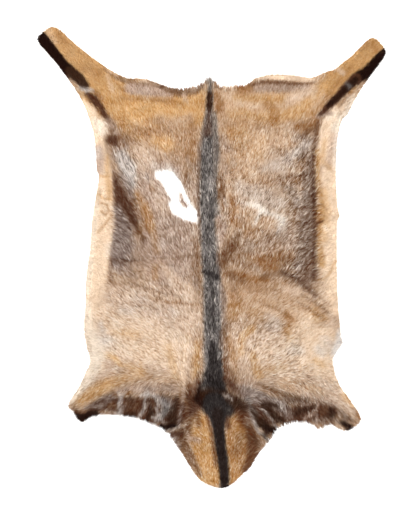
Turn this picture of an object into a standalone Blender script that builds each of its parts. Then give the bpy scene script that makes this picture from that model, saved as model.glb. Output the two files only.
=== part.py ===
"""A goatskin rug: one tanned hide with its coat on, lying flat with the hair up.

The hide is one closed slab in metres, +Z up, with the neck at -Y and the hind legs at +Y.
Its plan follows the animal's own outline and ends in pointed locks of hair all round.
The underside is flat where it rests and lifts a little at the feet and along the edges.
The upper side carries the crown of the coat, its ridges and creases, and lumps that lie along the hair.
"""

import random
from typing import NamedTuple

import bmesh
import bpy
import numpy as np
from mathutils import Vector
from mathutils.geometry import delaunay_2d_cdt

# Driving dimensions, in metres
HIDE_LENGTH = 0.900  # from the neck to the hind feet, before the locks
LEATHER = 0.0018
COAT_BACK = 0.0085  # how thick the lying coat is over the back
COAT_EDGE = 0.0030  # and how thick it is just inside the rim
COAT_SHOULDER = 0.055  # how far in from the rim it grows from one to the other
THINNEST = 0.0028  # leather and pressed coat together, in the deepest crease
LOCK_TIP = 0.0009  # how thick a rim lock is at its tip
LOCK_ROOT = 0.0026  # and at its root

# Rim locks: lengths in metres, and shares of a lock's own length or pitch
LOCK_PITCH = (0.0090, 0.0145)
LOCK_SPREAD = (0.40, 1.45)  # shortest and longest lock, as shares of the length stated in RIM
LOCK_MIDDLE = (0.36, 0.64)  # where the tip stands between its two roots
LOCK_OUTWARD = 0.6  # the share of a lock that stands outside the edge
LOCK_LEAN = 0.8  # how far a lock leans the way the hair lies
TANGENT_STEP = 0.004  # how far ahead and behind the edge's direction is read

# Lumps of coat, each lying along the hair: lengths in metres
LUMP_COUNT = 420
LUMP_LENGTH = (0.036, 0.062)
LUMP_WIDTH = (0.013, 0.020)
LUMP_HEIGHT = (0.0012, 0.0028)
LUMP_TURN = 0.22  # how far a lump turns off the hair's direction, in radians
LUMP_CREST = 0.70  # where the lump is highest, as a share of its length from the root

# Mesh spacing in metres
RIM_STEPS = 8  # steps of the curve between two rows of RIM
TOP_PITCH = 0.0114
UNDERSIDE_PITCH = 0.0260
RIM_CLEARANCE = 0.0060  # no inner point lies closer to the rim than this
RELIEF_START = 0.3  # the share of the relief that is there at the rim
RELIEF_FULL = 0.0085  # how far in from the rim it is whole
LIFT_ZONE = 0.070  # the underside is flat from here inwards
SEED = 27

MM = 0.001

# The skin's edge, counter-clockwise from the tail tuft, seen from above.
# Columns: x, y and the length of the locks there, all in mm from the middle of the hide.
RIM = {
    "tail edge, left": (
        (-1, 349, 9), (-12, 339, 9), (-25, 331, 9), (-53, 328, 8),
        (-80, 330, 6), (-108, 340, 3), (-133, 348, 3), (-166, 351, 3),
    ),
    "hind leg, left": (
        (-203, 370, 2), (-241, 397, 2), (-272, 422, 2), (-295, 443, 3),
        (-312, 449, 4), (-327, 440, 4), (-340, 425, 3), (-323, 401, 2),
        (-306, 382, 2), (-290, 361, 2), (-264, 329, 2),
    ),
    "flank, left": (
        (-248, 305, 2), (-239, 276, 2), (-228, 239, 3), (-224, 200, 4), (-223, 172, 4),
        (-218, 159, 4), (-223, 127, 3), (-230, 74, 3), (-236, 18, 4), (-244, -43, 5),
        (-245, -94, 4), (-248, -139, 3), (-243, -174, 4), (-236, -202, 4),
    ),
    "foreleg, left": (
        (-245, -227, 3), (-259, -257, 3), (-278, -288, 4), (-270, -301, 5),
        (-260, -318, 5), (-250, -322, 5), (-236, -312, 5),
    ),
    "chest edge, left": (
        (-209, -307, 6), (-160, -311, 8), (-125, -321, 9), (-90, -337, 9),
    ),
    "neck": (
        (-68, -361, 6), (-54, -386, 4), (-30, -424, 3), (-16, -439, 3), (14, -451, 3),
        (35, -448, 3), (55, -431, 3), (77, -410, 4), (95, -382, 5), (115, -356, 8),
    ),
    "chest edge, right": (
        (128, -335, 10), (157, -322, 9), (187, -321, 8), (211, -334, 8), (233, -327, 6),
    ),
    "foreleg, right": (
        (254, -337, 5), (269, -339, 5), (290, -326, 5), (292, -311, 4),
        (277, -288, 3), (250, -249, 3),
    ),
    "flank, right": (
        (239, -211, 4), (240, -193, 4), (258, -169, 5), (254, -153, 4), (248, -106, 3),
        (246, -16, 4), (246, 65, 4), (249, 80, 4), (245, 102, 3), (243, 155, 3),
        (245, 200, 3), (248, 237, 3), (257, 271, 2),
    ),
    "hind leg, right": (
        (266, 278, 2), (274, 292, 2), (293, 329, 2), (318, 364, 2), (342, 399, 3),
        (328, 422, 4), (315, 428, 4), (302, 418, 2), (274, 390, 2), (261, 383, 3),
        (245, 368, 2), (225, 361, 2),
    ),
    "tail edge, right": (
        (198, 350, 3), (170, 352, 3), (124, 356, 3), (89, 351, 4),
        (72, 339, 6), (53, 334, 8), (25, 332, 9), (11, 338, 9),
    ),
}


class HairGuide(NamedTuple):
    """A place in mm and the way the hair lies there, in degrees from +X towards +Y."""

    place: str
    x: float
    y: float
    heading: float


HAIR_GUIDES = (
    HairGuide("neck", 14, -400, 90),
    HairGuide("withers", 4, -250, 92),
    HairGuide("back", -4, 40, 90),
    HairGuide("tail", 0, 320, 90),
    HairGuide("ribs, left", -110, 0, 122),
    HairGuide("ribs, right", 110, 0, 58),
    HairGuide("belly, left", -220, 40, 152),
    HairGuide("belly, right", 225, 40, 28),
    HairGuide("rump, left", -120, 260, 112),
    HairGuide("rump, right", 120, 260, 68),
    HairGuide("hind leg, left", -245, 370, 130),
    HairGuide("hind leg, right", 280, 355, 48),
    HairGuide("shoulder, left", -150, -160, 140),
    HairGuide("shoulder, right", 160, -160, 40),
    HairGuide("foreleg, left", -245, -285, 222),
    HairGuide("foreleg, right", 265, -305, 315),
    HairGuide("chest, left", -110, -310, 258),
    HairGuide("chest, right", 170, -315, 284),
)
GUIDE_SOFTNESS = 0.030  # how far around a guide its heading holds, in metres
GUIDE_FALLOFF = 1.5  # how fast a guide's say falls with distance


class Fold(NamedTuple):
    """A ridge, or a crease when its height is below zero, along a path of places, all in mm."""

    place: str
    height: float
    half_width: float
    path: tuple


FOLDS = (
    Fold("mane on the neck", 1.9, 13, ((14, -430), (10, -300), (6, -140))),
    Fold("mane on the back", 1.9, 13, ((4, -100), (-4, 60), (-6, 200), (-2, 340))),
    Fold("cross over the withers", 2.6, 24, ((-30, -262), (10, -285), (46, -268))),
    Fold("parting on the left shoulder", 3.2, 11, ((-45, -172), (-58, -240), (-61, -335))),
    Fold("gather 1 on the left chest", 3.8, 9, ((-182, -268), (-170, -307))),
    Fold("gather 2 on the left chest", 4.6, 10, ((-142, -262), (-128, -318))),
    Fold("gather 3 on the left chest", 4.4, 11, ((-114, -262), (-98, -322))),
    Fold("valley 1 on the left chest", -3.2, 8, ((-160, -270), (-148, -313))),
    Fold("valley 2 on the left chest", -3.0, 7, ((-121, -278), (-109, -322))),
    Fold("valley 3 on the left chest", -3.0, 9, ((-86, -258), (-80, -322))),
    Fold("gather 1 on the right chest", 4.2, 10, ((72, -304), (115, -358))),
    Fold("gather 2 on the right chest", 3.4, 8, ((100, -292), (131, -333))),
    Fold("gather 3 on the right chest", 4.2, 10, ((127, -270), (156, -320))),
    Fold("valley 1 on the right chest", -3.0, 9, ((166, -282), (198, -319))),
    Fold("valley 2 on the right chest", -3.0, 9, ((207, -282), (230, -315))),
    Fold("crease on the left belly", -2.2, 8, ((-186, -4), (-149, -1))),
    Fold("crease on the left ribs", -2.0, 8, ((-96, 6), (-31, 3))),
    Fold("crease behind the left shoulder", -2.6, 10, ((-160, -58), (-100, -72), (-41, -86))),
    Fold("crease behind the right shoulder", -2.6, 10, ((143, -33), (180, -58), (215, -86))),
    Fold("curl on the left belly", 3.0, 12, ((-216, 124), (-198, 90), (-196, 50))),
    Fold("wave on the right belly", 2.6, 13, ((226, 150), (216, 95), (222, 40))),
    Fold("roll on the left rump edge", 1.8, 10, ((-160, 336), (-110, 326), (-64, 316))),
    Fold("roll on the right rump edge", 1.8, 10, ((84, 336), (130, 340), (196, 336))),
)


class Lift(NamedTuple):
    """A place where the edge of the skin stands off the floor, all in mm."""

    place: str
    x: float
    y: float
    height: float
    reach: float


LIFTS = (
    Lift("hind foot, left", -326, 434, 9.0, 62),
    Lift("hind foot, right", 326, 412, 8.0, 62),
    Lift("forefoot, left", -264, -302, 7.5, 48),
    Lift("forefoot, right", 280, -318, 7.0, 48),
    Lift("neck", 18, -444, 4.0, 46),
    Lift("belly edge, upper left", -226, 104, 6.0, 46),
    Lift("belly edge, lower left", -246, -70, 4.5, 58),
    Lift("belly edge, upper right", 244, 172, 5.0, 46),
    Lift("belly edge, middle right", 247, 36, 4.0, 44),
    Lift("belly edge, lower right", 252, -140, 5.5, 50),
    Lift("rump edge, left", -124, 344, 4.0, 48),
    Lift("rump edge, right", 140, 354, 4.5, 56),
    Lift("chest edge, left", -112, -326, 5.0, 44),
    Lift("chest edge, right", 166, -326, 5.0, 46),
)


def eased(share):
    """A smooth step from 0 to 1 as the share runs from 0 to 1."""
    held = np.clip(share, 0.0, 1.0)
    return held * held * (3.0 - 2.0 * held)


def rim_curve():
    """The edge as a closed smooth curve through the rows of RIM, in metres, with the locks' length beside."""
    rows = np.array([row for stretch in RIM.values() for row in stretch]) * MM
    rows *= HIDE_LENGTH / np.ptp(rows[:, 1])
    before = np.roll(rows, 1, axis=0)
    after = np.roll(rows, -1, axis=0)
    beyond = np.roll(rows, -2, axis=0)
    t = (np.arange(RIM_STEPS) / RIM_STEPS)[:, None, None]
    curve = rows + 0.5 * (
        (after - before) * t
        + (2 * before - 5 * rows + 4 * after - beyond) * t**2
        + (3 * rows - before - 3 * after + beyond) * t**3
    )
    return curve.transpose(1, 0, 2).reshape(-1, 3)


def hair_direction(points):
    """The unit vector along which the hair lies at each point, blended from the guides by distance."""
    places = np.array([(guide.x, guide.y) for guide in HAIR_GUIDES]) * MM
    headings = np.radians([guide.heading for guide in HAIR_GUIDES])
    away = points[:, None, :] - places[None, :, :]
    weight = (np.sum(away**2, axis=2) + GUIDE_SOFTNESS**2) ** -GUIDE_FALLOFF
    blend = weight @ np.column_stack([np.cos(headings), np.sin(headings)])
    return blend / np.linalg.norm(blend, axis=1, keepdims=True)


def lock_rim():
    """The rim as drawn out into locks: a root and a tip for each, with True beside each tip."""
    curve = rim_curve()
    edge = np.vstack([curve, curve[:1]])
    run = np.concatenate([[0.0], np.cumsum(np.linalg.norm(np.diff(edge[:, :2], axis=0), axis=1))])
    chance = random.Random(SEED)
    starts = [0.0]
    while starts[-1] < run[-1]:
        starts.append(starts[-1] + chance.uniform(*LOCK_PITCH))
    starts = np.array(starts[:-1]) * run[-1] / starts[-1]
    pitches = np.diff(np.append(starts, run[-1]))
    middles = starts + pitches * [chance.uniform(*LOCK_MIDDLE) for _ in starts]
    along = np.column_stack([starts, middles]).ravel()
    places = np.column_stack([np.interp(along, run, edge[:, axis]) for axis in range(3)])
    ahead = (along + TANGENT_STEP) % run[-1]
    behind = (along - TANGENT_STEP) % run[-1]
    tangent = np.column_stack([
        np.interp(ahead, run, edge[:, axis]) - np.interp(behind, run, edge[:, axis]) for axis in (0, 1)
    ])
    tangent /= np.linalg.norm(tangent, axis=1, keepdims=True)
    outward = np.column_stack([tangent[:, 1], -tangent[:, 0]])
    is_tip = np.tile([False, True], len(starts))
    length = places[:, 2] * [chance.uniform(*LOCK_SPREAD) for _ in along]
    lean = np.sum(hair_direction(places[:, :2]) * tangent, axis=1) * LOCK_LEAN
    reach = np.where(is_tip, LOCK_OUTWARD, LOCK_OUTWARD - 1.0) * length
    shift = outward * reach[:, None]
    shift += tangent * (np.where(is_tip, lean, 0.0) * length)[:, None]
    return places[:, :2] + shift, is_tip


def distance_to_path(points, path, closed=False):
    """How far each point is from a run of straight pieces."""
    starts = path if closed else path[:-1]
    ends = np.roll(path, -1, axis=0) if closed else path[1:]
    nearest = np.full(len(points), np.inf)
    for start, end in zip(starts, ends):
        step = end - start
        share = np.clip((points - start) @ step / (step @ step), 0.0, 1.0)
        nearest = np.minimum(nearest, np.linalg.norm(points - start - share[:, None] * step, axis=1))
    return nearest


def inside_rim(points, rim):
    """Whether each point lies inside the rim, by counting the edges to its right."""
    crossings = np.zeros(len(points), int)
    for start, end in zip(rim, np.roll(rim, -1, axis=0)):
        spans = (start[1] > points[:, 1]) != (end[1] > points[:, 1])
        rise = end[1] - start[1] if end[1] != start[1] else 1.0
        at = start[0] + (points[:, 1] - start[1]) * (end[0] - start[0]) / rise
        crossings += spans & (points[:, 0] < at)
    return crossings % 2 == 1


def lattice_inside(rim, pitch):
    """Points in staggered rows inside the rim, clear of it."""
    low, high = rim.min(axis=0), rim.max(axis=0)
    row_pitch = pitch * np.sqrt(3.0) / 2.0
    rows = np.arange(low[1] + row_pitch / 2, high[1], row_pitch)
    columns = np.arange(low[0], high[0], pitch)
    x = columns[None, :] + (np.arange(len(rows)) % 2)[:, None] * pitch / 2
    y = np.broadcast_to(rows[:, None], x.shape)
    points = np.column_stack([x.ravel(), y.ravel()])
    points = points[inside_rim(points, rim)]
    return points[distance_to_path(points, rim, closed=True) > RIM_CLEARANCE]


def underside_height(points, depth):
    """How far the underside stands off the floor: nothing in the middle, the lifts of LIFTS by the rim."""
    height = np.zeros(len(points))
    for lift in LIFTS:
        away = np.linalg.norm(points - np.array([lift.x, lift.y]) * MM, axis=1)
        height += lift.height * MM * np.exp(-((away / (lift.reach * MM)) ** 2))
    return height * eased(1.0 - depth / LIFT_ZONE)


def fold_relief(points):
    """The ridges and creases of FOLDS, each a soft bell across its path."""
    relief = np.zeros(len(points))
    for fold in FOLDS:
        away = distance_to_path(points, np.array(fold.path) * MM)
        relief += fold.height * MM * np.exp(-((away / (fold.half_width * MM)) ** 2))
    return relief


def lump_relief(points, rim):
    """Overlapping locks of the coat: each rises slowly along the hair and drops at its tip."""
    chance = np.random.default_rng(SEED)
    low, high = rim.min(axis=0), rim.max(axis=0)
    places = chance.uniform(low, high, (LUMP_COUNT, 2))
    turn = chance.normal(0.0, LUMP_TURN, LUMP_COUNT)
    length = chance.uniform(*LUMP_LENGTH, LUMP_COUNT)
    width = chance.uniform(*LUMP_WIDTH, LUMP_COUNT)
    height = chance.uniform(*LUMP_HEIGHT, LUMP_COUNT)
    lie = hair_direction(places)
    along_x = lie[:, 0] * np.cos(turn) - lie[:, 1] * np.sin(turn)
    along_y = lie[:, 0] * np.sin(turn) + lie[:, 1] * np.cos(turn)
    away_x = points[:, None, 0] - places[None, :, 0]
    away_y = points[:, None, 1] - places[None, :, 1]
    along = (away_x * along_x + away_y * along_y) / length + 0.5
    across = (away_x * along_y - away_y * along_x) / width
    climb = eased(along / LUMP_CREST) * eased((1.0 - along) / (1.0 - LUMP_CREST))
    return np.max(height * climb * np.exp(-(across**2)), axis=1)


def upper_height(points, depth, rim):
    """The height of the coat's surface at points inside the rim."""
    crown = eased(depth / COAT_SHOULDER)
    coat = COAT_EDGE + (COAT_BACK - COAT_EDGE) * crown
    relief = fold_relief(points) + lump_relief(points, rim)
    shown = eased(RELIEF_START + (1.0 - RELIEF_START) * depth / RELIEF_FULL)
    thickness = np.maximum(LEATHER + coat + relief * shown, THINNEST)
    return underside_height(points, depth) + thickness


def triangulated(rim, inner):
    """The triangles of one side as rows of three indices, the rim's points first, each counter-clockwise."""
    flat = [Vector(point) for point in np.vstack([rim, inner])]
    loop = list(range(len(rim)))
    out, _, faces, originals, _, _ = delaunay_2d_cdt(flat, [], [loop], 1, 1e-7)
    if len(out) != len(flat):
        raise ValueError("the rim crosses itself")
    index = [original[0] for original in originals]
    triangles = np.array([[index[corner] for corner in face] for face in faces])
    plan = np.vstack([rim, inner])
    a, b, c = (plan[triangles[:, corner]] for corner in range(3))
    turn = (b[:, 0] - a[:, 0]) * (c[:, 1] - a[:, 1]) - (b[:, 1] - a[:, 1]) * (c[:, 0] - a[:, 0])
    triangles[turn < 0] = triangles[turn < 0][:, ::-1]
    return triangles


def wall(count):
    """The band of triangles that joins the upper rim, which comes first, to the lower one."""
    here = np.arange(count)
    after = np.roll(here, -1)
    return np.vstack([
        np.column_stack([here + count, after + count, after]),
        np.column_stack([here + count, after, here]),
    ])


def hide_mesh():
    """The closed slab of the hide, centred on its box and standing on the floor."""
    rim, is_tip = lock_rim()
    rim_base = underside_height(rim, np.zeros(len(rim)))
    rim_top = rim_base + np.where(is_tip, LOCK_TIP, LOCK_ROOT)
    upper = lattice_inside(rim, TOP_PITCH)
    lower = lattice_inside(rim, UNDERSIDE_PITCH)
    upper_depth = distance_to_path(upper, rim, closed=True)
    lower_depth = distance_to_path(lower, rim, closed=True)
    upper_z = upper_height(upper, upper_depth, rim)
    lower_z = underside_height(lower, lower_depth)
    count = len(rim)
    upper_faces = triangulated(rim, upper)
    lower_faces = triangulated(rim, lower)[:, ::-1]
    upper_faces = np.where(upper_faces < count, upper_faces, upper_faces + count)
    lower_faces = np.where(lower_faces < count, lower_faces + count, lower_faces + count + len(upper))
    points = np.vstack([
        np.column_stack([rim, rim_top]),
        np.column_stack([rim, rim_base]),
        np.column_stack([upper, upper_z]),
        np.column_stack([lower, lower_z]),
    ])
    middle = (points.min(axis=0) + points.max(axis=0)) / 2.0
    points[:, :2] -= middle[:2]
    return points, np.vstack([upper_faces, lower_faces, wall(count)])


def hide_material():
    """Short tan and grey-brown hair over leather."""
    material = bpy.data.materials.new("hide coat")
    material.use_nodes = True
    shader = material.node_tree.nodes["Principled BSDF"]
    shader.inputs["Base Color"].default_value = (0.31, 0.175, 0.095, 1.0)
    shader.inputs["Roughness"].default_value = 0.72
    shader.inputs["Metallic"].default_value = 0.0
    return material


def make_hide():
    """The hide as one object, smooth above and sharp at its rim."""
    points, faces = hide_mesh()
    mesh = bpy.data.meshes.new("hide")
    mesh.from_pydata(points.tolist(), [], faces.tolist())
    shaped = bmesh.new()
    shaped.from_mesh(mesh)
    bmesh.ops.recalc_face_normals(shaped, faces=shaped.faces)
    shaped.to_mesh(mesh)
    shaped.free()
    mesh.materials.append(hide_material())
    mesh.shade_smooth()
    hide = bpy.data.objects.new("hide", mesh)
    bpy.context.scene.collection.objects.link(hide)
    return hide


def main():
    for stale in list(bpy.data.objects):
        bpy.data.objects.remove(stale, do_unlink=True)
    make_hide()


main()
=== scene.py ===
"""The looks of a goatskin rug: its leather, its coat and every marking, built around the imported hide.

The hide lies flat with the hair up, the neck at -Y and the hind legs at +Y, all in metres.
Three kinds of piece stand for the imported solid. The skin is the sheet of leather, with a suede
underside and a cut edge. The undercoat is the dense short hair that covers the leather. The guard
hair is tapered strands, joined into one mesh for each part of the body.
The coat's colours come from a chart of named markings, each laid along its own path.
"""

import logging
from collections.abc import Callable
from dataclasses import dataclass
from enum import Enum

import bpy
import numpy as np
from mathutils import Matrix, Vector
from mathutils.geometry import delaunay_2d_cdt


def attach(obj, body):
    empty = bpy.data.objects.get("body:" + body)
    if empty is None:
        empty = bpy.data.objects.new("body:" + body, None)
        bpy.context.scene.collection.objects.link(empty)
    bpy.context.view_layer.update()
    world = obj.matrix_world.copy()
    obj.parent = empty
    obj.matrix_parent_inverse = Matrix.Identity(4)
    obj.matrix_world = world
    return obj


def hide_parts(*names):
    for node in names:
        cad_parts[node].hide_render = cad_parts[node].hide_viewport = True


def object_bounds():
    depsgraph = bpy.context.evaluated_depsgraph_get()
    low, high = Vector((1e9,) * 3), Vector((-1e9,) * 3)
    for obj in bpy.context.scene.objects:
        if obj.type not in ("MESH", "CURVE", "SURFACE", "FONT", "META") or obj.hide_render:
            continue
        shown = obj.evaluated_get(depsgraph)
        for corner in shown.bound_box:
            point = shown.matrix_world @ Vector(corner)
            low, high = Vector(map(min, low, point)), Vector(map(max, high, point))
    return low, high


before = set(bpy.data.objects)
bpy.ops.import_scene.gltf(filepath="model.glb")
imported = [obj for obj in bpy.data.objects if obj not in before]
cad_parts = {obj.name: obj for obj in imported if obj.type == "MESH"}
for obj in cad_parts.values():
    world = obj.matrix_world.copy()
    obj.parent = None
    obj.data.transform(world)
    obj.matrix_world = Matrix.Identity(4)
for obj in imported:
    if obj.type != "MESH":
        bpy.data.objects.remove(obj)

CAD_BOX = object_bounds()

logging.basicConfig(level=logging.INFO, format="%(message)s")
LOG = logging.getLogger("goatskin")

MM = 0.001
SEED = 27
PAINT_GAIN = 0.735  # painted colour beside the photograph's, under the studio's bright light
PAINT_LIMIT = 0.92
PAINT_VEIL = 0.003  # what the hair's shine adds to it, taken off beforehand
PAINT_LEAST = 0.001  # and the least that is left

# The photograph's frame, and how its pixels lie on the hide
PHOTO_WIDTH = 416
PHOTO_HEIGHT = 513
PHOTO_PIXEL = 1.957 * MM
PHOTO_MIDDLE = (211.0, 257.0)  # the pixel at the outline table's own middle
OUTLINE_SHIFT = (-1.84 * MM, 1.26 * MM)  # from that table's middle to the middle of the hide's box

# The hide's own thickness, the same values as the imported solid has
LEATHER = 1.8 * MM
COAT_BACK = 8.5 * MM
COAT_EDGE = 3.0 * MM
COAT_SHOULDER = 55 * MM
THINNEST = 2.8 * MM
LIFT_ZONE = 70 * MM

# The skin's edge, counter-clockwise from the tail tuft, seen from above.
# Columns: x, y and the length of the locks there, all in mm, from the middle of the table.
RIM = {
    "tail edge, left": (
        (-1, 350, 9), (-13, 341, 9), (-26, 333, 9), (-53, 329, 8),
        (-80, 331, 6), (-108, 341, 3), (-133, 349, 3), (-166, 350, 3),
    ),
    "hind leg, left": (
        (-203, 370, 2), (-241, 397, 2), (-272, 422, 2), (-295, 443, 3),
        (-312, 449, 4), (-327, 440, 4), (-339, 425, 3), (-322, 402, 2),
        (-305, 383, 2), (-289, 362, 2), (-265, 329, 2),
    ),
    "flank, left": (
        (-251, 303, 2), (-240, 276, 2), (-229, 239, 3), (-225, 200, 4), (-224, 172, 4),
        (-219, 159, 4), (-223, 127, 3), (-232, 74, 3), (-236, 18, 4), (-244, -43, 5),
        (-245, -94, 4), (-248, -139, 3), (-243, -174, 4), (-236, -202, 4),
    ),
    "foreleg, left": (
        (-245, -227, 3), (-259, -257, 3), (-278, -288, 4), (-269, -301, 5),
        (-259, -317, 5), (-250, -321, 5), (-236, -312, 5),
    ),
    "chest edge, left": (
        (-209, -308, 6), (-160, -312, 8), (-125, -322, 9), (-91, -338, 9),
    ),
    "neck": (
        (-70, -362, 6), (-55, -386, 4), (-31, -425, 3), (-16, -440, 3), (14, -452, 3),
        (35, -448, 3), (55, -431, 3), (77, -410, 4), (94, -381, 5), (115, -356, 8),
    ),
    "chest edge, right": (
        (129, -336, 10), (157, -323, 9), (187, -322, 8), (211, -335, 8), (233, -326, 6),
    ),
    "foreleg, right": (
        (254, -337, 5), (269, -338, 5), (288, -324, 5), (291, -312, 4),
        (277, -288, 3), (250, -249, 3),
    ),
    "flank, right": (
        (238, -211, 4), (240, -193, 4), (256, -169, 5), (253, -153, 4), (249, -106, 3),
        (246, -16, 4), (246, 65, 4), (251, 80, 4), (247, 102, 3), (244, 155, 3),
        (245, 200, 3), (248, 237, 3), (257, 271, 2),
    ),
    "hind leg, right": (
        (266, 278, 2), (273, 292, 2), (293, 329, 2), (318, 364, 2), (341, 399, 3),
        (327, 421, 4), (315, 428, 4), (301, 419, 2), (273, 391, 2), (261, 383, 3),
        (245, 369, 2), (225, 362, 2),
    ),
    "tail edge, right": (
        (198, 351, 3), (170, 354, 3), (124, 357, 3), (89, 350, 4),
        (72, 339, 6), (53, 334, 8), (25, 332, 9), (11, 337, 9),
    ),
}


def charted(kind: type, columns: int, rows: tuple) -> tuple:
    """Reads a table whose rows end in a path.

    Args:
        kind: The class of the items.
        columns: How many columns come before the path.
        rows: The rows, each its columns and then the places of its path.

    Returns:
        One item for each row.
    """
    return tuple(kind(*row[:columns], row[columns:]) for row in rows)


@dataclass(frozen=True)
class HairGuide:
    """A place in mm and the way the hair lies there, in degrees from +X towards +Y."""

    place: str
    x: float
    y: float
    heading: float


HAIR_GUIDES = (
    HairGuide("neck", 18, -400, 90),
    HairGuide("neck, left", -28, -385, 118),
    HairGuide("neck, right", 58, -385, 64),
    HairGuide("neck edge, right", 94, -352, 308),
    HairGuide("neck edge, left", -72, -345, 236),
    HairGuide("withers", 4, -250, 92),
    HairGuide("back", -4, 40, 90),
    HairGuide("tail", 0, 320, 90),
    HairGuide("ribs, left", -110, 0, 122),
    HairGuide("ribs, right", 110, 0, 58),
    HairGuide("belly, left", -220, 40, 152),
    HairGuide("belly, right", 225, 40, 28),
    HairGuide("rump, left", -120, 260, 112),
    HairGuide("rump, right", 120, 260, 68),
    HairGuide("hind leg, left", -245, 370, 130),
    HairGuide("hind leg, right", 280, 355, 48),
    HairGuide("shoulder, left", -150, -160, 140),
    HairGuide("shoulder, right", 160, -160, 40),
    HairGuide("foreleg, left", -245, -285, 222),
    HairGuide("foreleg, right", 265, -305, 315),
    HairGuide("chest, left", -110, -310, 258),
    HairGuide("chest, right", 170, -315, 284),
)
GUIDE_SOFTNESS = 30 * MM
GUIDE_FALLOFF = 1.5


@dataclass(frozen=True)
class Fold:
    """A ridge, or a crease when its height is below zero, along a path of places, all in mm."""

    place: str
    height: float
    half_width: float
    path: tuple


# Columns: place, height, half width, and the places of the path
FOLDS = charted(Fold, 3, (
    ("mane on the neck", 1.9, 13, (14, -430), (10, -300), (6, -140)),
    ("mane on the back", 1.9, 13, (4, -100), (-4, 60), (-6, 200), (-2, 340)),
    ("cross over the withers", 2.6, 24, (-30, -262), (10, -285), (46, -268)),
    ("parting on the left shoulder", 3.2, 11, (-45, -172), (-58, -240), (-61, -335)),
    ("gather 1 on the left chest", 3.8, 9, (-182, -268), (-170, -307)),
    ("gather 2 on the left chest", 4.6, 10, (-142, -262), (-128, -318)),
    ("gather 3 on the left chest", 4.4, 11, (-114, -262), (-98, -322)),
    ("valley 1 on the left chest", -3.2, 8, (-160, -270), (-148, -313)),
    ("valley 2 on the left chest", -3.0, 7, (-121, -278), (-109, -322)),
    ("valley 3 on the left chest", -3.0, 9, (-86, -258), (-80, -322)),
    ("gather 1 on the right chest", 4.2, 10, (72, -304), (115, -358)),
    ("gather 2 on the right chest", 3.4, 8, (100, -292), (131, -333)),
    ("gather 3 on the right chest", 4.2, 10, (127, -270), (156, -320)),
    ("valley 1 on the right chest", -3.0, 9, (166, -282), (198, -319)),
    ("valley 2 on the right chest", -3.0, 9, (207, -282), (230, -315)),
    ("crease on the left belly", -2.2, 8, (-186, -4), (-149, -1)),
    ("crease on the left ribs", -2.0, 8, (-96, 6), (-31, 3)),
    ("crease behind the left shoulder", -2.6, 10, (-160, -58), (-100, -72), (-41, -86)),
    ("crease behind the right shoulder", -2.6, 10, (143, -33), (180, -58), (215, -86)),
    ("curl on the left belly", 3.0, 12, (-216, 124), (-198, 90), (-196, 50)),
    ("wave on the right belly", 2.6, 13, (226, 150), (216, 95), (222, 40)),
    ("roll on the left rump edge", 1.8, 10, (-160, 336), (-110, 326), (-64, 316)),
    ("roll on the right rump edge", 1.8, 10, (84, 336), (130, 340), (196, 336)),
))


@dataclass(frozen=True)
class Lift:
    """A place where the edge of the skin stands off the floor, all in mm."""

    place: str
    x: float
    y: float
    height: float
    reach: float


LIFTS = (
    Lift("hind foot, left", -326, 434, 9.0, 62),
    Lift("hind foot, right", 326, 412, 8.0, 62),
    Lift("forefoot, left", -264, -302, 7.5, 48),
    Lift("forefoot, right", 280, -318, 7.0, 48),
    Lift("neck", 18, -444, 4.0, 46),
    Lift("belly edge, upper left", -226, 104, 6.0, 46),
    Lift("belly edge, lower left", -246, -70, 4.5, 58),
    Lift("belly edge, upper right", 244, 172, 5.0, 46),
    Lift("belly edge, middle right", 247, 36, 4.0, 44),
    Lift("belly edge, lower right", 252, -140, 5.5, 50),
    Lift("rump edge, left", -124, 344, 4.0, 48),
    Lift("rump edge, right", 140, 354, 4.5, 56),
    Lift("chest edge, left", -112, -326, 5.0, 44),
    Lift("chest edge, right", 166, -326, 5.0, 46),
)


class Tone(Enum):
    """Colours of the coat, as display red, green and blue from 0 to 255. White is past that, overexposed."""

    BLACK = (36, 22, 17)
    CHARCOAL = (50, 45, 44)
    SLATE = (107, 101, 98)
    SOOT_BROWN = (60, 40, 29)
    DEEP_BROWN = (84, 54, 39)
    CHESTNUT = (104, 68, 46)
    UMBER = (126, 92, 66)
    OCHRE = (154, 110, 71)
    BARK = (122, 97, 81)
    BRONZE = (169, 121, 73)
    MOLE = (136, 116, 106)
    TAUPE = (168, 142, 124)
    ROSE_GREY = (188, 161, 143)
    SILVER = (196, 185, 178)
    ASH = (214, 195, 180)
    DUN = (186, 155, 127)
    TAN = (199, 153, 99)
    GOLD = (220, 174, 118)
    FAWN = (213, 178, 144)
    PALE_FAWN = (227, 199, 174)
    PEACH = (246, 217, 187)
    MILK = (240, 232, 226)
    CREAM = (252, 234, 213)
    WHITE = (290, 289, 286)


@dataclass(frozen=True)
class Marking:
    """One patch, band or streak of the coat, along a path of x, y and half width in photograph pixels."""

    place: str
    tone: Tone
    share: float  # how much it covers what lies below it
    soft: float  # the width of its soft edge
    path: tuple


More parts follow.
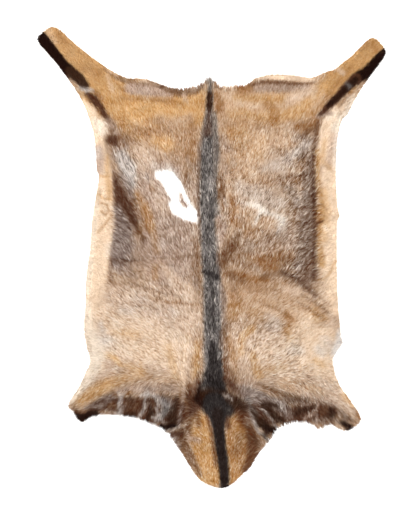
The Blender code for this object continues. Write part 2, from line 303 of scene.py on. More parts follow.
# The chart: in each area its markings, in the order in which they lie over one another.
# Columns: place, tone, share, softness in pixels, and the path as x, y and half width.
CHART = {
    "wide grounds": (
        ("rump ground, left", Tone.GOLD, 1.0, 22, (100, 90, 20), (150, 108, 24), (192, 104, 18)),
        ("rump ground, right", Tone.FAWN, 1.0, 22, (226, 104, 16), (270, 104, 24), (318, 92, 20)),
        ("loin ground, left", Tone.FAWN, 0.85, 26, (150, 140, 16), (182, 142, 18)),
        ("loin ground, right", Tone.FAWN, 0.95, 26, (236, 142, 20), (272, 144, 20)),
        ("loin light, right", Tone.PALE_FAWN, 0.5, 18, (262, 142, 8), (276, 156, 10)),
        ("loin tan, right", Tone.TAN, 0.6, 12, (226, 134, 5), (242, 132, 6), (238, 150, 6), (226, 162, 4)),
        ("ribs ground, left", Tone.ROSE_GREY, 0.9, 26, (160, 178, 24), (164, 225, 30), (170, 262, 26)),
        ("ribs shade, left", Tone.TAUPE, 0.45, 24, (158, 235, 16), (176, 252, 12)),
        ("ribs pale, left", Tone.PALE_FAWN, 0.7, 10, (152, 186, 3), (158, 198, 5), (165, 212, 5)),
        ("ribs ground, right", Tone.FAWN, 0.8, 26, (240, 170, 22), (256, 220, 30), (262, 245, 26)),
        ("ribs low ground, right", Tone.DUN, 0.85, 24, (238, 246, 14), (268, 262, 18), (244, 290, 12)),
        ("ribs shade, right", Tone.TAUPE, 0.6, 20, (268, 244, 12), (284, 236, 10)),
        ("waist ground, left", Tone.PALE_FAWN, 0.95, 24, (112, 308, 16), (150, 318, 22), (186, 316, 18)),
        ("waist ground, right", Tone.FAWN, 0.85, 24, (232, 300, 16), (262, 304, 18), (288, 306, 14)),
        ("waist fawn, right", Tone.FAWN, 0.9, 20, (288, 300, 12), (312, 312, 16)),
        ("shoulder ground, left", Tone.PALE_FAWN, 1.0, 24, (112, 345, 20), (150, 345, 26), (182, 355, 20)),
        ("shoulder pale, left", Tone.PEACH, 0.7, 26, (110, 325, 16), (140, 340, 22), (168, 350, 18)),
        ("elbow ground, left", Tone.PALE_FAWN, 1.0, 14, (102, 354, 8), (106, 372, 8)),
        ("elbow light, left", Tone.PEACH, 0.8, 8, (98, 360, 4), (100, 368, 3)),
        ("shoulder ground, right", Tone.PALE_FAWN, 1.0, 24, (238, 348, 18), (268, 352, 26), (305, 365, 22)),
        ("shoulder light, right", Tone.PEACH, 0.5, 18, (262, 352, 12), (286, 352, 16), (292, 374, 12)),
        ("shoulder pale 2, right", Tone.PEACH, 0.8, 12, (288, 344, 4), (300, 352, 8), (304, 366, 6)),
        ("elbow ground, right", Tone.PEACH, 1.0, 20, (300, 326, 12), (320, 340, 18), (318, 360, 14)),
        ("elbow fawn, right", Tone.PALE_FAWN, 0.8, 10, (330, 318, 5), (334, 326, 3)),
        ("neck ground, left", Tone.TAN, 1.0, 8, (198, 420, 9), (203, 440, 13), (212, 470, 16)),
        ("neck ground, right", Tone.BRONZE, 1.0, 8, (238, 420, 9), (240, 440, 16), (236, 468, 16)),
        ("neck light, low right", Tone.TAN, 0.5, 9, (232, 462, 5), (234, 478, 6)),
        ("neck light, right", Tone.TAN, 0.5, 7, (232, 422, 3), (236, 428, 3)),
        ("neck light, low left", Tone.GOLD, 0.6, 10, (207, 462, 6), (209, 474, 6)),
    ),
    "hind leg and rump, left": (
        ("hind leg", Tone.TAN, 0.9, 6, (50, 33, 12), (75, 55, 15), (98, 80, 16), (112, 94, 12)),
        ("hind leg tip", Tone.BRONZE, 0.65, 6, (58, 34, 3), (66, 43, 3)),
        ("hind leg light", Tone.GOLD, 0.45, 10, (78, 60, 4), (98, 88, 7), (112, 98, 8)),
        ("hind foot light", Tone.FAWN, 0.6, 6, (47, 31, 4), (55, 42, 3)),
        ("hind leg shade", Tone.OCHRE, 0.35, 8, (84, 68, 4), (98, 72, 5), (94, 80, 4)),
        ("hind leg pale edge", Tone.PEACH, 0.9, 1.6, (104, 67.3, 0.3), (110, 71, 0.8), (122, 76, 1.0),
         (135, 78, 1.0), (150, 80.5, 1.0), (158, 83, 0.7)),
        ("rump light streak", Tone.PALE_FAWN, 0.55, 5, (107, 76, 2), (112, 90, 3)),
        ("rump band, upper left", Tone.ROSE_GREY, 0.95, 5, (130, 88, 6), (150, 89, 7.5), (170, 92, 5)),
        ("rump line, upper left", Tone.UMBER, 0.85, 3, (102, 67.5, 0.5), (113, 75.5, 1.2), (124, 80.5, 1.8),
         (142, 82.8, 1.4), (156, 85, 1.5)),
        ("rump edge", Tone.CHESTNUT, 0.95, 3.5, (160, 86, 1.8), (174, 88.5, 3.4), (186, 89, 3.2),
         (202, 86, 2.2)),
        ("rump brown, upper left", Tone.UMBER, 0.95, 4, (166, 88.5, 3), (180, 91, 5.5), (195, 89.5, 4.4)),
        ("rump bronze by the spine", Tone.BRONZE, 0.5, 6, (202, 99, 2.4), (202, 110, 2.4)),
        ("rump light by the spine", Tone.PALE_FAWN, 0.65, 8, (163, 135, 4), (171, 130, 4)),
        ("rump pale spot", Tone.PALE_FAWN, 0.8, 4, (184, 95, 2.5), (187, 102, 2.5)),
        ("rump brown line", Tone.OCHRE, 0.55, 5, (112, 97, 2), (140, 99, 1.5), (172, 100, 3)),
        ("rump shade by the spine", Tone.OCHRE, 0.6, 9, (192, 118, 4), (192, 144, 5), (188, 166, 4),
         (186, 180, 3)),
        ("rib dun by the spine", Tone.ROSE_GREY, 0.7, 8, (194, 184, 3), (196, 198, 3)),
        ("rump dapple", Tone.OCHRE, 0.65, 8, (122, 124, 4), (136, 130, 5), (150, 134, 4)),
        ("rump dapple, low left", Tone.OCHRE, 0.55, 8, (150, 128, 3), (160, 134, 4), (172, 130, 3)),
        ("rump dapple 2", Tone.OCHRE, 0.5, 8, (148, 120, 3), (158, 122, 4), (163, 128, 3)),
        ("rump rose", Tone.ROSE_GREY, 0.5, 10, (158, 118, 4), (172, 122, 5), (190, 116, 4)),
        ("rump tan by the tail", Tone.TAN, 0.75, 10, (180, 104, 4), (196, 104, 5), (199, 122, 4)),
        ("rump tan above the hock", Tone.TAN, 0.75, 10, (108, 98, 4), (118, 112, 6), (126, 126, 6)),
        ("hock ochre", Tone.OCHRE, 0.8, 5, (94, 91, 2), (101, 98, 3)),
        ("loin brown by the spine", Tone.OCHRE, 0.5, 12, (176, 130, 5), (187, 146, 6), (190, 158, 5)),
        ("loin dapple", Tone.OCHRE, 0.35, 10, (160, 158, 4), (178, 150, 5)),
    ),
    "flank, left": (
        ("flank silver, upper left", Tone.SILVER, 0.85, 8, (119, 153, 4), (126, 167, 7.5), (131, 183, 5)),
        ("flank white hair", Tone.WHITE, 0.35, 4, (119, 163, 1), (128, 174, 1.6), (136, 188, 1)),
        ("flank milk 1", Tone.MILK, 0.7, 6, (127, 155, 2), (133, 166, 4), (134, 175, 2)),
        ("flank silver haze", Tone.SILVER, 0.4, 7, (115, 158, 2.4), (121, 162, 3)),
        ("flank top tan", Tone.MOLE, 0.5, 3, (122, 140, 1.5), (128, 146, 2), (124, 150, 1.5)),
        ("flank top grey", Tone.SILVER, 0.8, 6, (120, 150, 2), (124, 155, 4)),
        ("flank top brown", Tone.BARK, 0.6, 4, (113, 149, 1), (113, 156, 1.5)),
        ("flank silver, low left", Tone.SILVER, 0.6, 5, (127, 182, 3), (132, 192, 3), (138, 203, 2.4)),
        ("flank mix", Tone.MOLE, 0.75, 8, (121, 176, 3.5), (127, 187, 5), (134, 199, 4.5)),
        ("flank streaks", Tone.PALE_FAWN, 0.75, 12, (138, 152, 6), (148, 166, 8)),
        ("flank grey", Tone.MOLE, 1.0, 8, (116, 205, 6), (121, 228, 11), (121, 246, 13), (120, 260, 11)),
        ("flank grey, fading left", Tone.TAUPE, 0.65, 12, (138, 240, 6), (140, 256, 7), (124, 268, 7)),
        ("flank dark streak", Tone.DEEP_BROWN, 0.95, 5.5, (113.5, 178, 3.2), (118, 190, 5.4),
         (124.5, 202, 5.8), (131, 214, 5), (138, 228, 3.4), (143, 240, 1.8)),
        ("flank streak edge", Tone.UMBER, 0.75, 5, (133, 200, 2.2), (140, 214, 3), (146, 228, 2.6)),
        ("flank dark edge", Tone.DEEP_BROWN, 0.6, 4, (114, 172, 2), (112, 190, 3), (116, 202, 4)),
        ("flank brown edge", Tone.CHESTNUT, 0.6, 4, (110, 256, 1.5), (110, 270, 2), (111, 280, 2)),
        ("waist light", Tone.PALE_FAWN, 0.8, 12, (104, 290, 5), (120, 294, 7), (136, 292, 7)),
        # Painted shade: the dark line where the hide creases across the left flank
        ("flank crease", Tone.DEEP_BROWN, 0.85, 2.4, (111, 259, 0.8), (122, 260.2, 1.2), (137, 259.5, 0.6)),
        ("hock halo", Tone.CHESTNUT, 0.6, 7, (91, 98, 3), (100, 108, 3.6), (108, 121, 3.4),
         (112, 131, 2.6)),
        ("hock mark, upper left", Tone.DEEP_BROWN, 0.95, 3.5, (87, 93.5, 2.6), (93, 98, 3.8),
         (99, 106, 3.8), (104, 114, 2.8), (108, 119, 1.5)),
        ("hock grey", Tone.TAUPE, 0.7, 6, (110, 121, 3.5), (117, 131, 3.5)),
        ("hock halo, lower left", Tone.CHESTNUT, 0.75, 8, (110, 139, 3.5), (117, 139, 4.5), (119, 146, 3)),
        ("hock mark, lower left", Tone.DEEP_BROWN, 0.95, 5, (109, 140.5, 2.5), (113, 137.5, 3.6),
         (115, 144, 3)),
        ("flank brown, upper left", Tone.UMBER, 0.35, 7, (124, 140, 4), (136, 140, 3)),
    ),
    "ribs, left": (
        ("rib spot 1", Tone.BRONZE, 0.7, 6, (136, 193, 3), (142, 203, 4), (147, 214, 5), (151, 228, 4)),
        ("rib spot 2", Tone.BRONZE, 0.45, 8, (146, 206, 3.4), (150, 220, 4.4), (154, 236, 3.6),
         (157, 250, 3)),
        ("rib spot 3", Tone.BRONZE, 0.55, 6, (155, 266, 2.8), (155, 277, 3)),
        ("rib spot 4", Tone.OCHRE, 0.6, 4, (151, 180, 2), (151.5, 190, 2)),
        ("rib light", Tone.ASH, 0.7, 9, (163, 244, 5), (173, 236, 4)),
        ("loin light", Tone.PALE_FAWN, 0.6, 12, (144, 152, 5), (158, 152, 6)),
        ("loin gold", Tone.GOLD, 0.8, 9, (155, 140, 5), (166, 143, 8)),
        ("loin dun", Tone.DUN, 0.8, 7, (172, 158, 3.5), (179, 160, 4)),
        # Painted shade: the crease from the flank runs on across the left ribs as a dark line
        ("rib crease 1", Tone.UMBER, 0.9, 2.4, (158, 258, 0.6), (172, 257.5, 0.7), (184, 255.5, 1.2),
         (198, 253.5, 1.4)),
        ("rib edge by the spine", Tone.UMBER, 0.6, 6, (196, 236, 2), (195, 262, 3.5), (198, 288, 3)),
        ("rib light streak", Tone.PALE_FAWN, 0.95, 8, (160, 262, 2), (172, 276, 6), (184, 290, 10)),
        ("waist rose", Tone.PALE_FAWN, 0.7, 9, (148, 288, 5), (166, 296, 6)),
        # Painted shade: two dark lines along the crease behind the left shoulder
        ("rib crease 2", Tone.UMBER, 0.7, 2.4, (130, 283, 0.7), (145, 287, 1), (162, 292.5, 1),
         (184, 297, 0.7)),
        ("rib crease 3", Tone.OCHRE, 0.7, 2.4, (152, 298, 0.6), (170, 302, 1), (198, 304, 0.8)),
        ("rib shade under the patch", Tone.TAUPE, 0.7, 10, (166, 218, 4), (180, 226, 6), (192, 230, 4)),
        ("rib shade, low left", Tone.TAUPE, 0.8, 10, (172, 240, 5), (188, 246, 5)),
        ("white patch halo", Tone.ASH, 0.75, 8, (154, 166, 5), (164, 171, 9), (173, 186, 11), (181, 200, 9),
         (188, 211, 6)),
        ("white patch", Tone.WHITE, 1.0, 2.6, (159.5, 174.5, 5), (168, 177, 8), (173.5, 186, 8.8),
         (178.8, 196, 7.8), (183.5, 206, 8.2), (190.5, 213, 6.6), (196.3, 218.5, 3.6)),
        ("white patch, lower lobe", Tone.WHITE, 1.0, 3, (171.4, 203.5, 3.2), (175, 209, 4.2),
         (184, 214.5, 4.4), (193, 218.5, 3.5)),
        ("drop in the white patch", Tone.ROSE_GREY, 1.0, 2, (180.4, 193, 1), (182, 200, 2.8),
         (184.6, 204.5, 2.8)),
    ),
    "lower body, left": (
        ("waist grey", Tone.ROSE_GREY, 0.3, 12, (136, 306, 6), (168, 312, 6)),
        ("elbow gold", Tone.GOLD, 0.7, 5, (105, 354, 2.5), (112, 356, 3.5), (117, 361, 2.6)),
        ("shoulder gold 2", Tone.GOLD, 0.5, 8, (126, 365, 3), (134, 369, 4), (141, 371, 3)),
        ("shoulder gold 1", Tone.GOLD, 0.5, 10, (116, 332, 3), (126, 333, 4), (136, 334, 3)),
        ("elbow lilac", Tone.MILK, 0.6, 10, (90, 330, 4), (98, 342, 6), (108, 340, 5)),
        ("shoulder fawn 2", Tone.GOLD, 0.5, 9, (168, 346, 3), (172, 362, 4), (176, 376, 3.5)),
        ("shoulder ochre", Tone.OCHRE, 0.3, 4, (141, 362, 1), (140, 376, 1.5)),
        ("shoulder light", Tone.PEACH, 0.4, 12, (130, 350, 6), (160, 354, 8)),
        ("whorl", Tone.PEACH, 0.8, 6, (188, 334, 3), (185, 348, 3), (183, 362, 3), (182, 376, 2.5),
         (184, 386, 1)),
        ("brown beside the whorl", Tone.TAN, 0.8, 8, (197, 343, 2.5), (197, 354, 4), (196, 374, 4.5)),
    ),
    "chest and foreleg, left": (
        ("foreleg", Tone.GOLD, 0.8, 10, (80, 401, 4.5), (92, 393, 6.5), (107, 386, 6.5), (124, 379, 5),
         (140, 374, 3.5)),
        ("shoulder fawn 1", Tone.FAWN, 0.6, 10, (128, 380, 5), (146, 380, 5), (166, 382, 4)),
        ("chest fade", Tone.ROSE_GREY, 0.75, 11, (118, 391, 4), (145, 389, 5), (174, 389, 4)),
        ("shoulder cream", Tone.CREAM, 0.45, 8, (169, 334, 3.6), (177, 334, 3.6)),
        ("shoulder milk", Tone.MILK, 0.4, 8, (121, 310, 3.6), (130, 311, 3.6)),
        ("shoulder light low", Tone.PEACH, 0.55, 7, (129, 374, 3), (138, 374, 3)),
        ("chest dark", Tone.DEEP_BROWN, 0.95, 5, (90, 410, 3), (104, 405, 5.5), (122, 406, 9),
         (140, 409, 11), (158, 411, 13), (173, 412, 14)),
        ("chest edge by the neck", Tone.UMBER, 0.8, 7, (180, 430, 4), (183, 444, 4), (190, 458, 3)),
        ("chest grey", Tone.MOLE, 0.85, 5, (94, 405, 3), (104, 401, 5), (110, 398, 4)),
        ("chest shade", Tone.DEEP_BROWN, 0.65, 4, (93, 406, 2), (99, 403, 2.6), (103, 402, 1.6)),
        ("chest arc 1", Tone.CHESTNUT, 0.5, 3, (111, 391, 1.5), (116, 396, 2), (121, 402, 1.5)),
        ("chest grey 2", Tone.MOLE, 0.8, 3, (120, 399, 2.5), (123, 406, 3), (121, 412, 2.5)),
        ("chest silver 1", Tone.SILVER, 0.85, 2.4, (118, 392, 0.9), (121, 397, 1.3), (119, 403, 1.6),
         (117, 409, 1.8), (120, 413, 1.2), (114, 414, 1.1)),
        ("chest rust 1", Tone.OCHRE, 0.8, 3, (126, 396, 1.5), (130, 393, 2), (133, 396, 1.2)),
        ("chest rust 2", Tone.UMBER, 0.8, 3, (108, 407, 2), (113, 404, 2.6), (115, 409, 1.8)),
        ("chest chestnut 1", Tone.CHESTNUT, 0.7, 3.2, (127, 404, 3.5), (136, 402, 4.4), (136, 408, 3.4),
         (130, 411, 3)),
        ("chest soot 1", Tone.SOOT_BROWN, 0.85, 3, (126, 414, 1.8), (134, 415, 2)),
        ("chest silver 2", Tone.SILVER, 0.75, 2.4, (147, 396, 1.6), (144, 402, 1.7), (145, 408, 1.8),
         (142, 413, 1.9), (138, 418, 1.4)),
        ("chest silver 6", Tone.SILVER, 0.8, 3, (140, 396, 1.2), (147, 393.5, 2.4), (154, 397, 1.6)),
        ("chest arc 2", Tone.CHESTNUT, 0.5, 2.6, (150, 399, 1), (153, 402, 1.4), (152, 405, 1.2)),
        ("chest soot 2", Tone.SOOT_BROWN, 0.9, 3, (150, 408, 1.4), (151.5, 413, 3), (148, 419, 3)),
        ("chest mole 2", Tone.MOLE, 0.5, 3, (148, 403, 1.4), (149.5, 407, 1.4)),
        ("chest grey 3", Tone.MOLE, 1.0, 3.5, (157, 398, 3), (164, 402, 6), (170, 408, 5), (162, 414, 4),
         (156, 420, 3.5)),
        ("chest slate", Tone.SLATE, 0.85, 5, (163, 402, 3.5), (168, 409, 4), (160, 418, 2)),
        ("chest mole top", Tone.MOLE, 0.45, 5, (146, 389, 2.2), (154, 390, 2.2)),
        ("chest bark", Tone.BARK, 0.55, 4, (162, 396, 2.2), (168, 399, 2)),
        ("chest brown", Tone.UMBER, 0.5, 3.5, (160, 392, 1.2), (168, 396, 1.6)),
        ("chest silver 3", Tone.SILVER, 0.8, 2.4, (153.5, 394, 1.2), (157, 400, 1.4), (157.5, 406, 1.4),
         (157, 412, 1.3), (161, 418, 1.3)),
        ("chest silver 7", Tone.SILVER, 0.6, 2.2, (158, 397, 1), (163, 403, 1.5), (169, 408, 1.2)),
        ("chest silver 8", Tone.SILVER, 0.5, 2.6, (152, 418, 1.3), (158, 418, 1.8), (165, 423, 1.5)),
        ("chest soot 3", Tone.SOOT_BROWN, 0.8, 4, (176.5, 396, 1.2), (176, 405, 2.4), (172, 414, 5),
         (171, 421, 5)),
        ("chest black", Tone.BLACK, 1.0, 2.6, (161, 426, 1.5), (168, 427.5, 2.6), (176, 426, 2)),
        ("neck corner", Tone.DEEP_BROWN, 0.9, 4, (172, 434, 2.6), (180, 436, 3.5), (182, 444, 2.6)),
        ("neck corner top", Tone.DEEP_BROWN, 0.6, 4, (181, 428, 1.6), (182, 433, 2)),
        ("neck corner edge", Tone.MOLE, 0.85, 3, (168, 433, 1.5), (176, 440, 2), (180, 447, 1.5)),
        ("chest silver 4", Tone.SILVER, 0.5, 2.6, (167, 431, 1), (173, 430, 1.4), (179, 427, 1.2)),
        ("chest grey 4", Tone.MOLE, 0.9, 3, (180, 411, 1.5), (179, 419, 1.8), (178, 426, 1.5)),
        ("chest silver 5", Tone.SILVER, 0.4, 2.6, (184, 387, 1.3), (182.5, 397, 1.5), (181, 408, 1.4)),
        ("chest chestnut by the withers", Tone.CHESTNUT, 0.6, 4, (180, 393, 1.2), (180, 403, 1.2)),
        ("chest brown by the withers", Tone.UMBER, 0.8, 4, (188, 384, 2.5), (188, 398, 3), (188, 410, 2.5)),
        ("chest dark by the withers", Tone.DEEP_BROWN, 0.45, 3, (190, 390, 1.5), (190, 402, 2)),
        ("forefoot", Tone.BLACK, 0.95, 3, (76, 413, 2), (81, 417, 4), (89, 415, 3.5), (96, 413, 2.2)),
        ("forefoot brown", Tone.CHESTNUT, 0.75, 3, (74, 408.5, 1), (79, 412, 2), (84, 412, 1.5)),
        ("forefoot grey", Tone.MOLE, 0.75, 3, (85, 408, 1.8), (92, 406, 1.8), (101, 408, 1.8)),
        ("chest silver 0", Tone.TAUPE, 0.4, 2.6, (101, 413, 1.2), (108, 413, 1.3), (115, 413, 1.2)),
    ),
    "hind leg and rump, right": (
        ("hind leg", Tone.TAN, 1.0, 6, (374, 44, 10), (352, 68, 14), (336, 84, 14)),
        ("hind leg upper side", Tone.BRONZE, 0.5, 4, (352, 66, 1.6), (345, 75, 3), (338, 84, 2.4)),
        ("hind leg tip", Tone.BRONZE, 0.75, 5, (361, 49, 1.8), (370, 42, 2.4), (377, 50, 3)),
        ("hind leg inner edge", Tone.BRONZE, 0.6, 3.5, (323, 77.5, 1), (330, 74, 1.8), (339, 68, 1.8)),
        ("hind leg light", Tone.GOLD, 0.8, 9, (324, 84, 4), (314, 96, 6), (304, 106, 5)),
        ("hind leg shade", Tone.BRONZE, 0.6, 4, (338, 80, 1.8), (330, 94, 2.4), (319, 108, 2.6),
         (312, 114, 2)),
        ("hind leg spot", Tone.PALE_FAWN, 0.8, 4, (336, 66, 1.5), (343, 73, 2.5)),
        ("rump band, upper right", Tone.TAUPE, 0.85, 6, (254, 88, 3), (268, 87.5, 4), (290, 87.5, 4),
         (308, 86, 2.5)),
        ("rump line, upper right", Tone.CHESTNUT, 0.95, 2.6, (250, 85, 1.6), (262, 81.6, 1.7),
         (280, 82, 1.9), (300, 83.2, 1.4), (315, 82, 0.8)),
        ("rump pale edge", Tone.PEACH, 1.0, 1.8, (257, 78.5, 0.8), (266, 76.8, 2), (280, 77, 2.2),
         (295, 79, 1.8), (308, 80.3, 1.4), (316, 79.3, 0.7)),
        ("rump brown, upper right", Tone.OCHRE, 0.6, 6, (238, 88, 3), (244, 95, 4)),
        ("rump brown spot", Tone.OCHRE, 0.9, 5, (243, 88, 3), (250, 88, 3.5)),
        ("croup brown", Tone.OCHRE, 0.8, 5, (217, 94, 3), (220, 103, 4.5), (218, 110, 3)),
        ("rump pink", Tone.PALE_FAWN, 0.5, 6, (230, 96, 3), (246, 104, 4), (254, 108, 4)),
        ("rump tan streak", Tone.TAN, 0.85, 8, (236, 97, 3), (256, 98, 4), (284, 99, 4)),
        ("rump tan", Tone.TAN, 0.7, 12, (232, 114, 4), (244, 112, 4), (258, 118, 6), (286, 114, 4),
         (304, 112, 6)),
        ("loin brown 2", Tone.BRONZE, 0.4, 9, (240, 120, 4), (248, 134, 5), (250, 148, 4)),
        ("rump gold", Tone.GOLD, 0.6, 8, (284, 116, 4), (296, 112, 6)),
        ("rump smudge", Tone.BRONZE, 0.8, 3.5, (269, 104, 4.5), (274, 112, 5.5), (275, 122, 5)),
        ("rump pale", Tone.PALE_FAWN, 0.75, 8, (288, 100, 4), (300, 95, 4), (314, 90, 4)),
        ("rump brown, lower right", Tone.OCHRE, 1.0, 6, (298, 126, 3.5), (306, 128, 6), (314, 126, 5),
         (317, 119, 2.5)),
        ("rump umber, lower right", Tone.UMBER, 0.85, 6, (306, 133, 3), (314, 130, 4)),
        ("loin brown", Tone.BARK, 0.55, 7, (296, 138, 3), (306, 136, 3)),
        ("loin gold", Tone.GOLD, 0.3, 12, (262, 140, 6), (258, 152, 6)),
        ("loin dun", Tone.DUN, 0.7, 9, (274, 152, 4), (284, 155, 5)),
        ("loin shade by the spine", Tone.OCHRE, 0.3, 10, (222, 105, 3), (226, 125, 5)),
        ("loin dun by the spine", Tone.TAUPE, 0.7, 9, (222, 136, 4), (226, 148, 5)),
    ),
    "ribs and flank, right": (
        ("rib silver", Tone.ASH, 0.75, 9, (264, 168, 4), (275, 166, 6), (288, 159, 5), (296, 150, 3)),
        ("rib light 1", Tone.ASH, 0.75, 12, (240, 187, 7), (262, 196, 11), (280, 204, 8)),
        ("flank grey, upper right", Tone.SILVER, 0.65, 7, (312, 140, 3), (305, 146, 5), (296, 154, 4)),
        ("flank dark streaks", Tone.BARK, 0.8, 3, (299, 158, 1.4), (305, 155, 1.8), (310, 151, 1.4)),
        ("flank dark streak 2", Tone.DEEP_BROWN, 0.8, 2.4, (314, 148, 0.8), (312, 158, 1.2),
         (310.5, 165, 0.8)),
        ("flank brown, upper right", Tone.CHESTNUT, 0.8, 4, (318, 122, 1.6), (316, 134, 2),
         (315.5, 146, 2.4)),
        ("rib band", Tone.OCHRE, 0.7, 5, (246, 181, 1), (268, 180.5, 1), (284, 177, 2.4), (300, 176, 4)),
        ("rib band, dark right", Tone.DEEP_BROWN, 0.6, 4, (278, 177.5, 1.6), (292, 176, 2.2),
         (308, 174, 2)),
        ("flank dark", Tone.BARK, 0.9, 12, (310, 158, 4), (309, 175, 4), (309, 192, 6), (307, 216, 9),
         (306, 242, 10), (306, 262, 11), (307, 276, 8)),
        ("flank silver", Tone.SILVER, 0.4, 8, (290, 188, 5), (298, 200, 4)),
        ("rib speck", Tone.UMBER, 0.5, 4, (291, 200, 1.2), (291, 214, 1.6)),
        ("flank light", Tone.ROSE_GREY, 0.45, 9, (290, 226, 4), (290, 246, 5)),
        ("flank dark edge", Tone.DEEP_BROWN, 0.85, 5, (314, 148, 1.5), (314, 172, 3), (314, 190, 3.4),
         (316, 206, 3), (315, 232, 2), (314, 262, 3), (314, 276, 3)),
        ("flank brown, low right", Tone.CHESTNUT, 0.55, 6, (312, 262, 3), (306, 274, 4)),
        ("rib white 1", Tone.WHITE, 0.65, 6, (243, 202, 1.2), (256, 205.5, 3), (264, 211, 3.6),
         (271, 214, 1.6)),
        ("rib white 2", Tone.WHITE, 0.6, 5, (260, 213, 2), (255, 223, 2)),
        ("rib white 3", Tone.WHITE, 0.7, 6, (273, 213.5, 1.4), (279, 217, 3.2), (285, 219, 3.2),
         (281, 226, 3), (278, 232, 1.4)),
        ("rib silver, low right", Tone.SILVER, 0.75, 4.5, (290, 266, 2.4), (298, 267, 3)),
        ("rib brown 1", Tone.UMBER, 0.6, 7, (219, 178, 3), (220, 194, 4)),
        ("rib brown 6", Tone.TAUPE, 0.6, 8, (222, 158, 4), (225, 172, 5)),
        ("rib brown 2", Tone.OCHRE, 0.8, 4, (232, 196, 1.6), (233, 210, 2.6), (233, 220, 2)),
        ("rib pink", Tone.ROSE_GREY, 0.8, 6, (219, 216, 3), (222, 230, 5), (218, 246, 3)),
        ("rib ochre 5", Tone.OCHRE, 0.5, 9, (230, 216, 4), (238, 222, 4), (256, 234, 5)),
        ("rib brown 3", Tone.UMBER, 0.35, 8, (292, 208, 3), (288, 228, 4)),
        ("rib diagonal", Tone.UMBER, 0.95, 7, (239, 233, 3.5), (233, 246, 7.5), (222, 261, 6.5)),
        ("rib diagonal heart", Tone.CHESTNUT, 0.5, 6, (235, 246, 2), (227, 257, 3.5)),
        ("rib diagonal foot", Tone.DEEP_BROWN, 0.7, 5, (216.5, 256, 2), (218, 266, 3), (219, 276, 3)),
        ("rib ochre 1", Tone.OCHRE, 0.85, 7, (249, 256, 4), (256, 260, 5), (270, 259, 6), (288, 257, 5)),
        ("rib ochre 2", Tone.OCHRE, 1.0, 6, (226, 272, 3), (238, 276, 5), (252, 279, 4), (266, 279, 4)),
        ("rib ochre 4", Tone.UMBER, 0.7, 6, (228, 274, 3), (244, 281, 3)),
        ("rib brown 4", Tone.UMBER, 0.75, 8, (284, 258, 4), (292, 267, 4.5)),
        ("rib brown 5", Tone.UMBER, 0.6, 8, (228, 256, 4), (240, 262, 3)),
        ("rib umber", Tone.UMBER, 0.55, 8, (240, 250, 3), (246, 264, 4), (256, 267, 3)),
        ("rib umber 2", Tone.OCHRE, 0.9, 6, (262, 266, 3.5), (276, 268, 3)),
        ("rib light 2", Tone.ASH, 0.5, 5, (256, 264, 2), (259, 269, 2.6)),
        ("rib ochre 3", Tone.UMBER, 0.65, 6, (262, 276, 2.5), (280, 272, 3), (298, 279, 3)),
        ("waist brown", Tone.OCHRE, 0.5, 8, (236, 286, 3), (252, 288, 3), (280, 288, 3)),
        ("waist brown 2", Tone.UMBER, 0.4, 6, (231, 276, 2.4), (234, 290, 3)),
        # Painted shade along the crease behind the right shoulder, and a painted highlight on its lip
        ("shoulder crease", Tone.DEEP_BROWN, 0.9, 3.6, (282, 270.5, 1.2), (294, 276, 2), (304, 282.5, 3.2),
         (312, 291, 2.2), (316, 299, 1.2)),
        ("shoulder crease light", Tone.PALE_FAWN, 0.6, 2.5, (306, 282, 0.6), (314, 296, 1)),
    ),
    "lower body, right": (
        ("waist ochre 1", Tone.BRONZE, 0.75, 6, (231, 304, 3), (238, 306, 5), (233, 315, 4)),
        ("waist ochre 5", Tone.OCHRE, 0.6, 6, (232, 294, 2.4), (242, 299, 3.4)),
        ("waist ochre 2", Tone.BRONZE, 0.6, 7, (251, 311, 3), (260, 315, 3)),
        ("waist ochre 4", Tone.BRONZE, 0.6, 6, (286, 315, 3), (292, 320, 3.5), (288, 328, 2.5)),
        ("waist line", Tone.OCHRE, 0.8, 2.4, (260, 302, 0.7), (275, 308, 1.2), (286, 313, 1.2),
         (298, 320, 0.8)),
        ("waist silver", Tone.ASH, 0.6, 6, (268, 315, 3), (277, 320, 3.5)),
        ("waist pale", Tone.PALE_FAWN, 0.7, 5, (232, 326, 3), (239, 327, 3)),
        ("waist light", Tone.PALE_FAWN, 0.8, 7, (285, 288, 4), (298, 292, 4.5)),
        ("waist ochre 3", Tone.TAN, 0.6, 7, (313, 309, 3), (318, 317, 4.5), (327, 318, 2.5)),
        # Ripples at the right waist: a pale streak that is partly paler hair and partly painted highlight on
        # a ridge, between creases of painted shade
        ("waist pale streak", Tone.PEACH, 0.8, 2.4, (306, 293, 0.6), (320, 300.5, 1), (334, 313, 0.8)),
        ("waist crease 2", Tone.UMBER, 0.7, 2, (302, 294, 0.5), (316, 302, 0.8), (328, 311.5, 0.8),
         (335, 318, 0.5)),
        ("waist crease 3", Tone.UMBER, 0.6, 2.2, (290, 299, 0.5), (304, 304, 0.8), (318, 314, 0.8),
         (326, 322, 0.5)),
        ("waist crease 1", Tone.CHESTNUT, 0.8, 2, (305, 288, 0.6), (316, 294, 0.9), (328, 303, 0.7),
         (336, 310, 0.4)),
        ("shoulder gold", Tone.BRONZE, 0.6, 6, (228, 336, 3), (232, 350, 4), (234, 358, 4)),
        ("shoulder gold 3", Tone.TAN, 0.9, 6, (244, 335, 3.5), (252, 328, 4)),
        ("shoulder dapple 2", Tone.TAN, 0.7, 7, (253, 354, 3), (256, 366, 4), (259, 376, 3.5)),
        ("shoulder fawn 1", Tone.TAN, 0.6, 7, (287, 330, 3), (291, 338, 3)),
        ("shoulder brown", Tone.OCHRE, 0.5, 5, (235, 364, 2), (236, 376, 2.5)),
        ("shoulder dapple", Tone.TAN, 0.35, 8, (262, 372, 5), (284, 366, 5)),
        ("elbow pale", Tone.MILK, 0.45, 12, (324, 338, 3), (330, 345, 5)),
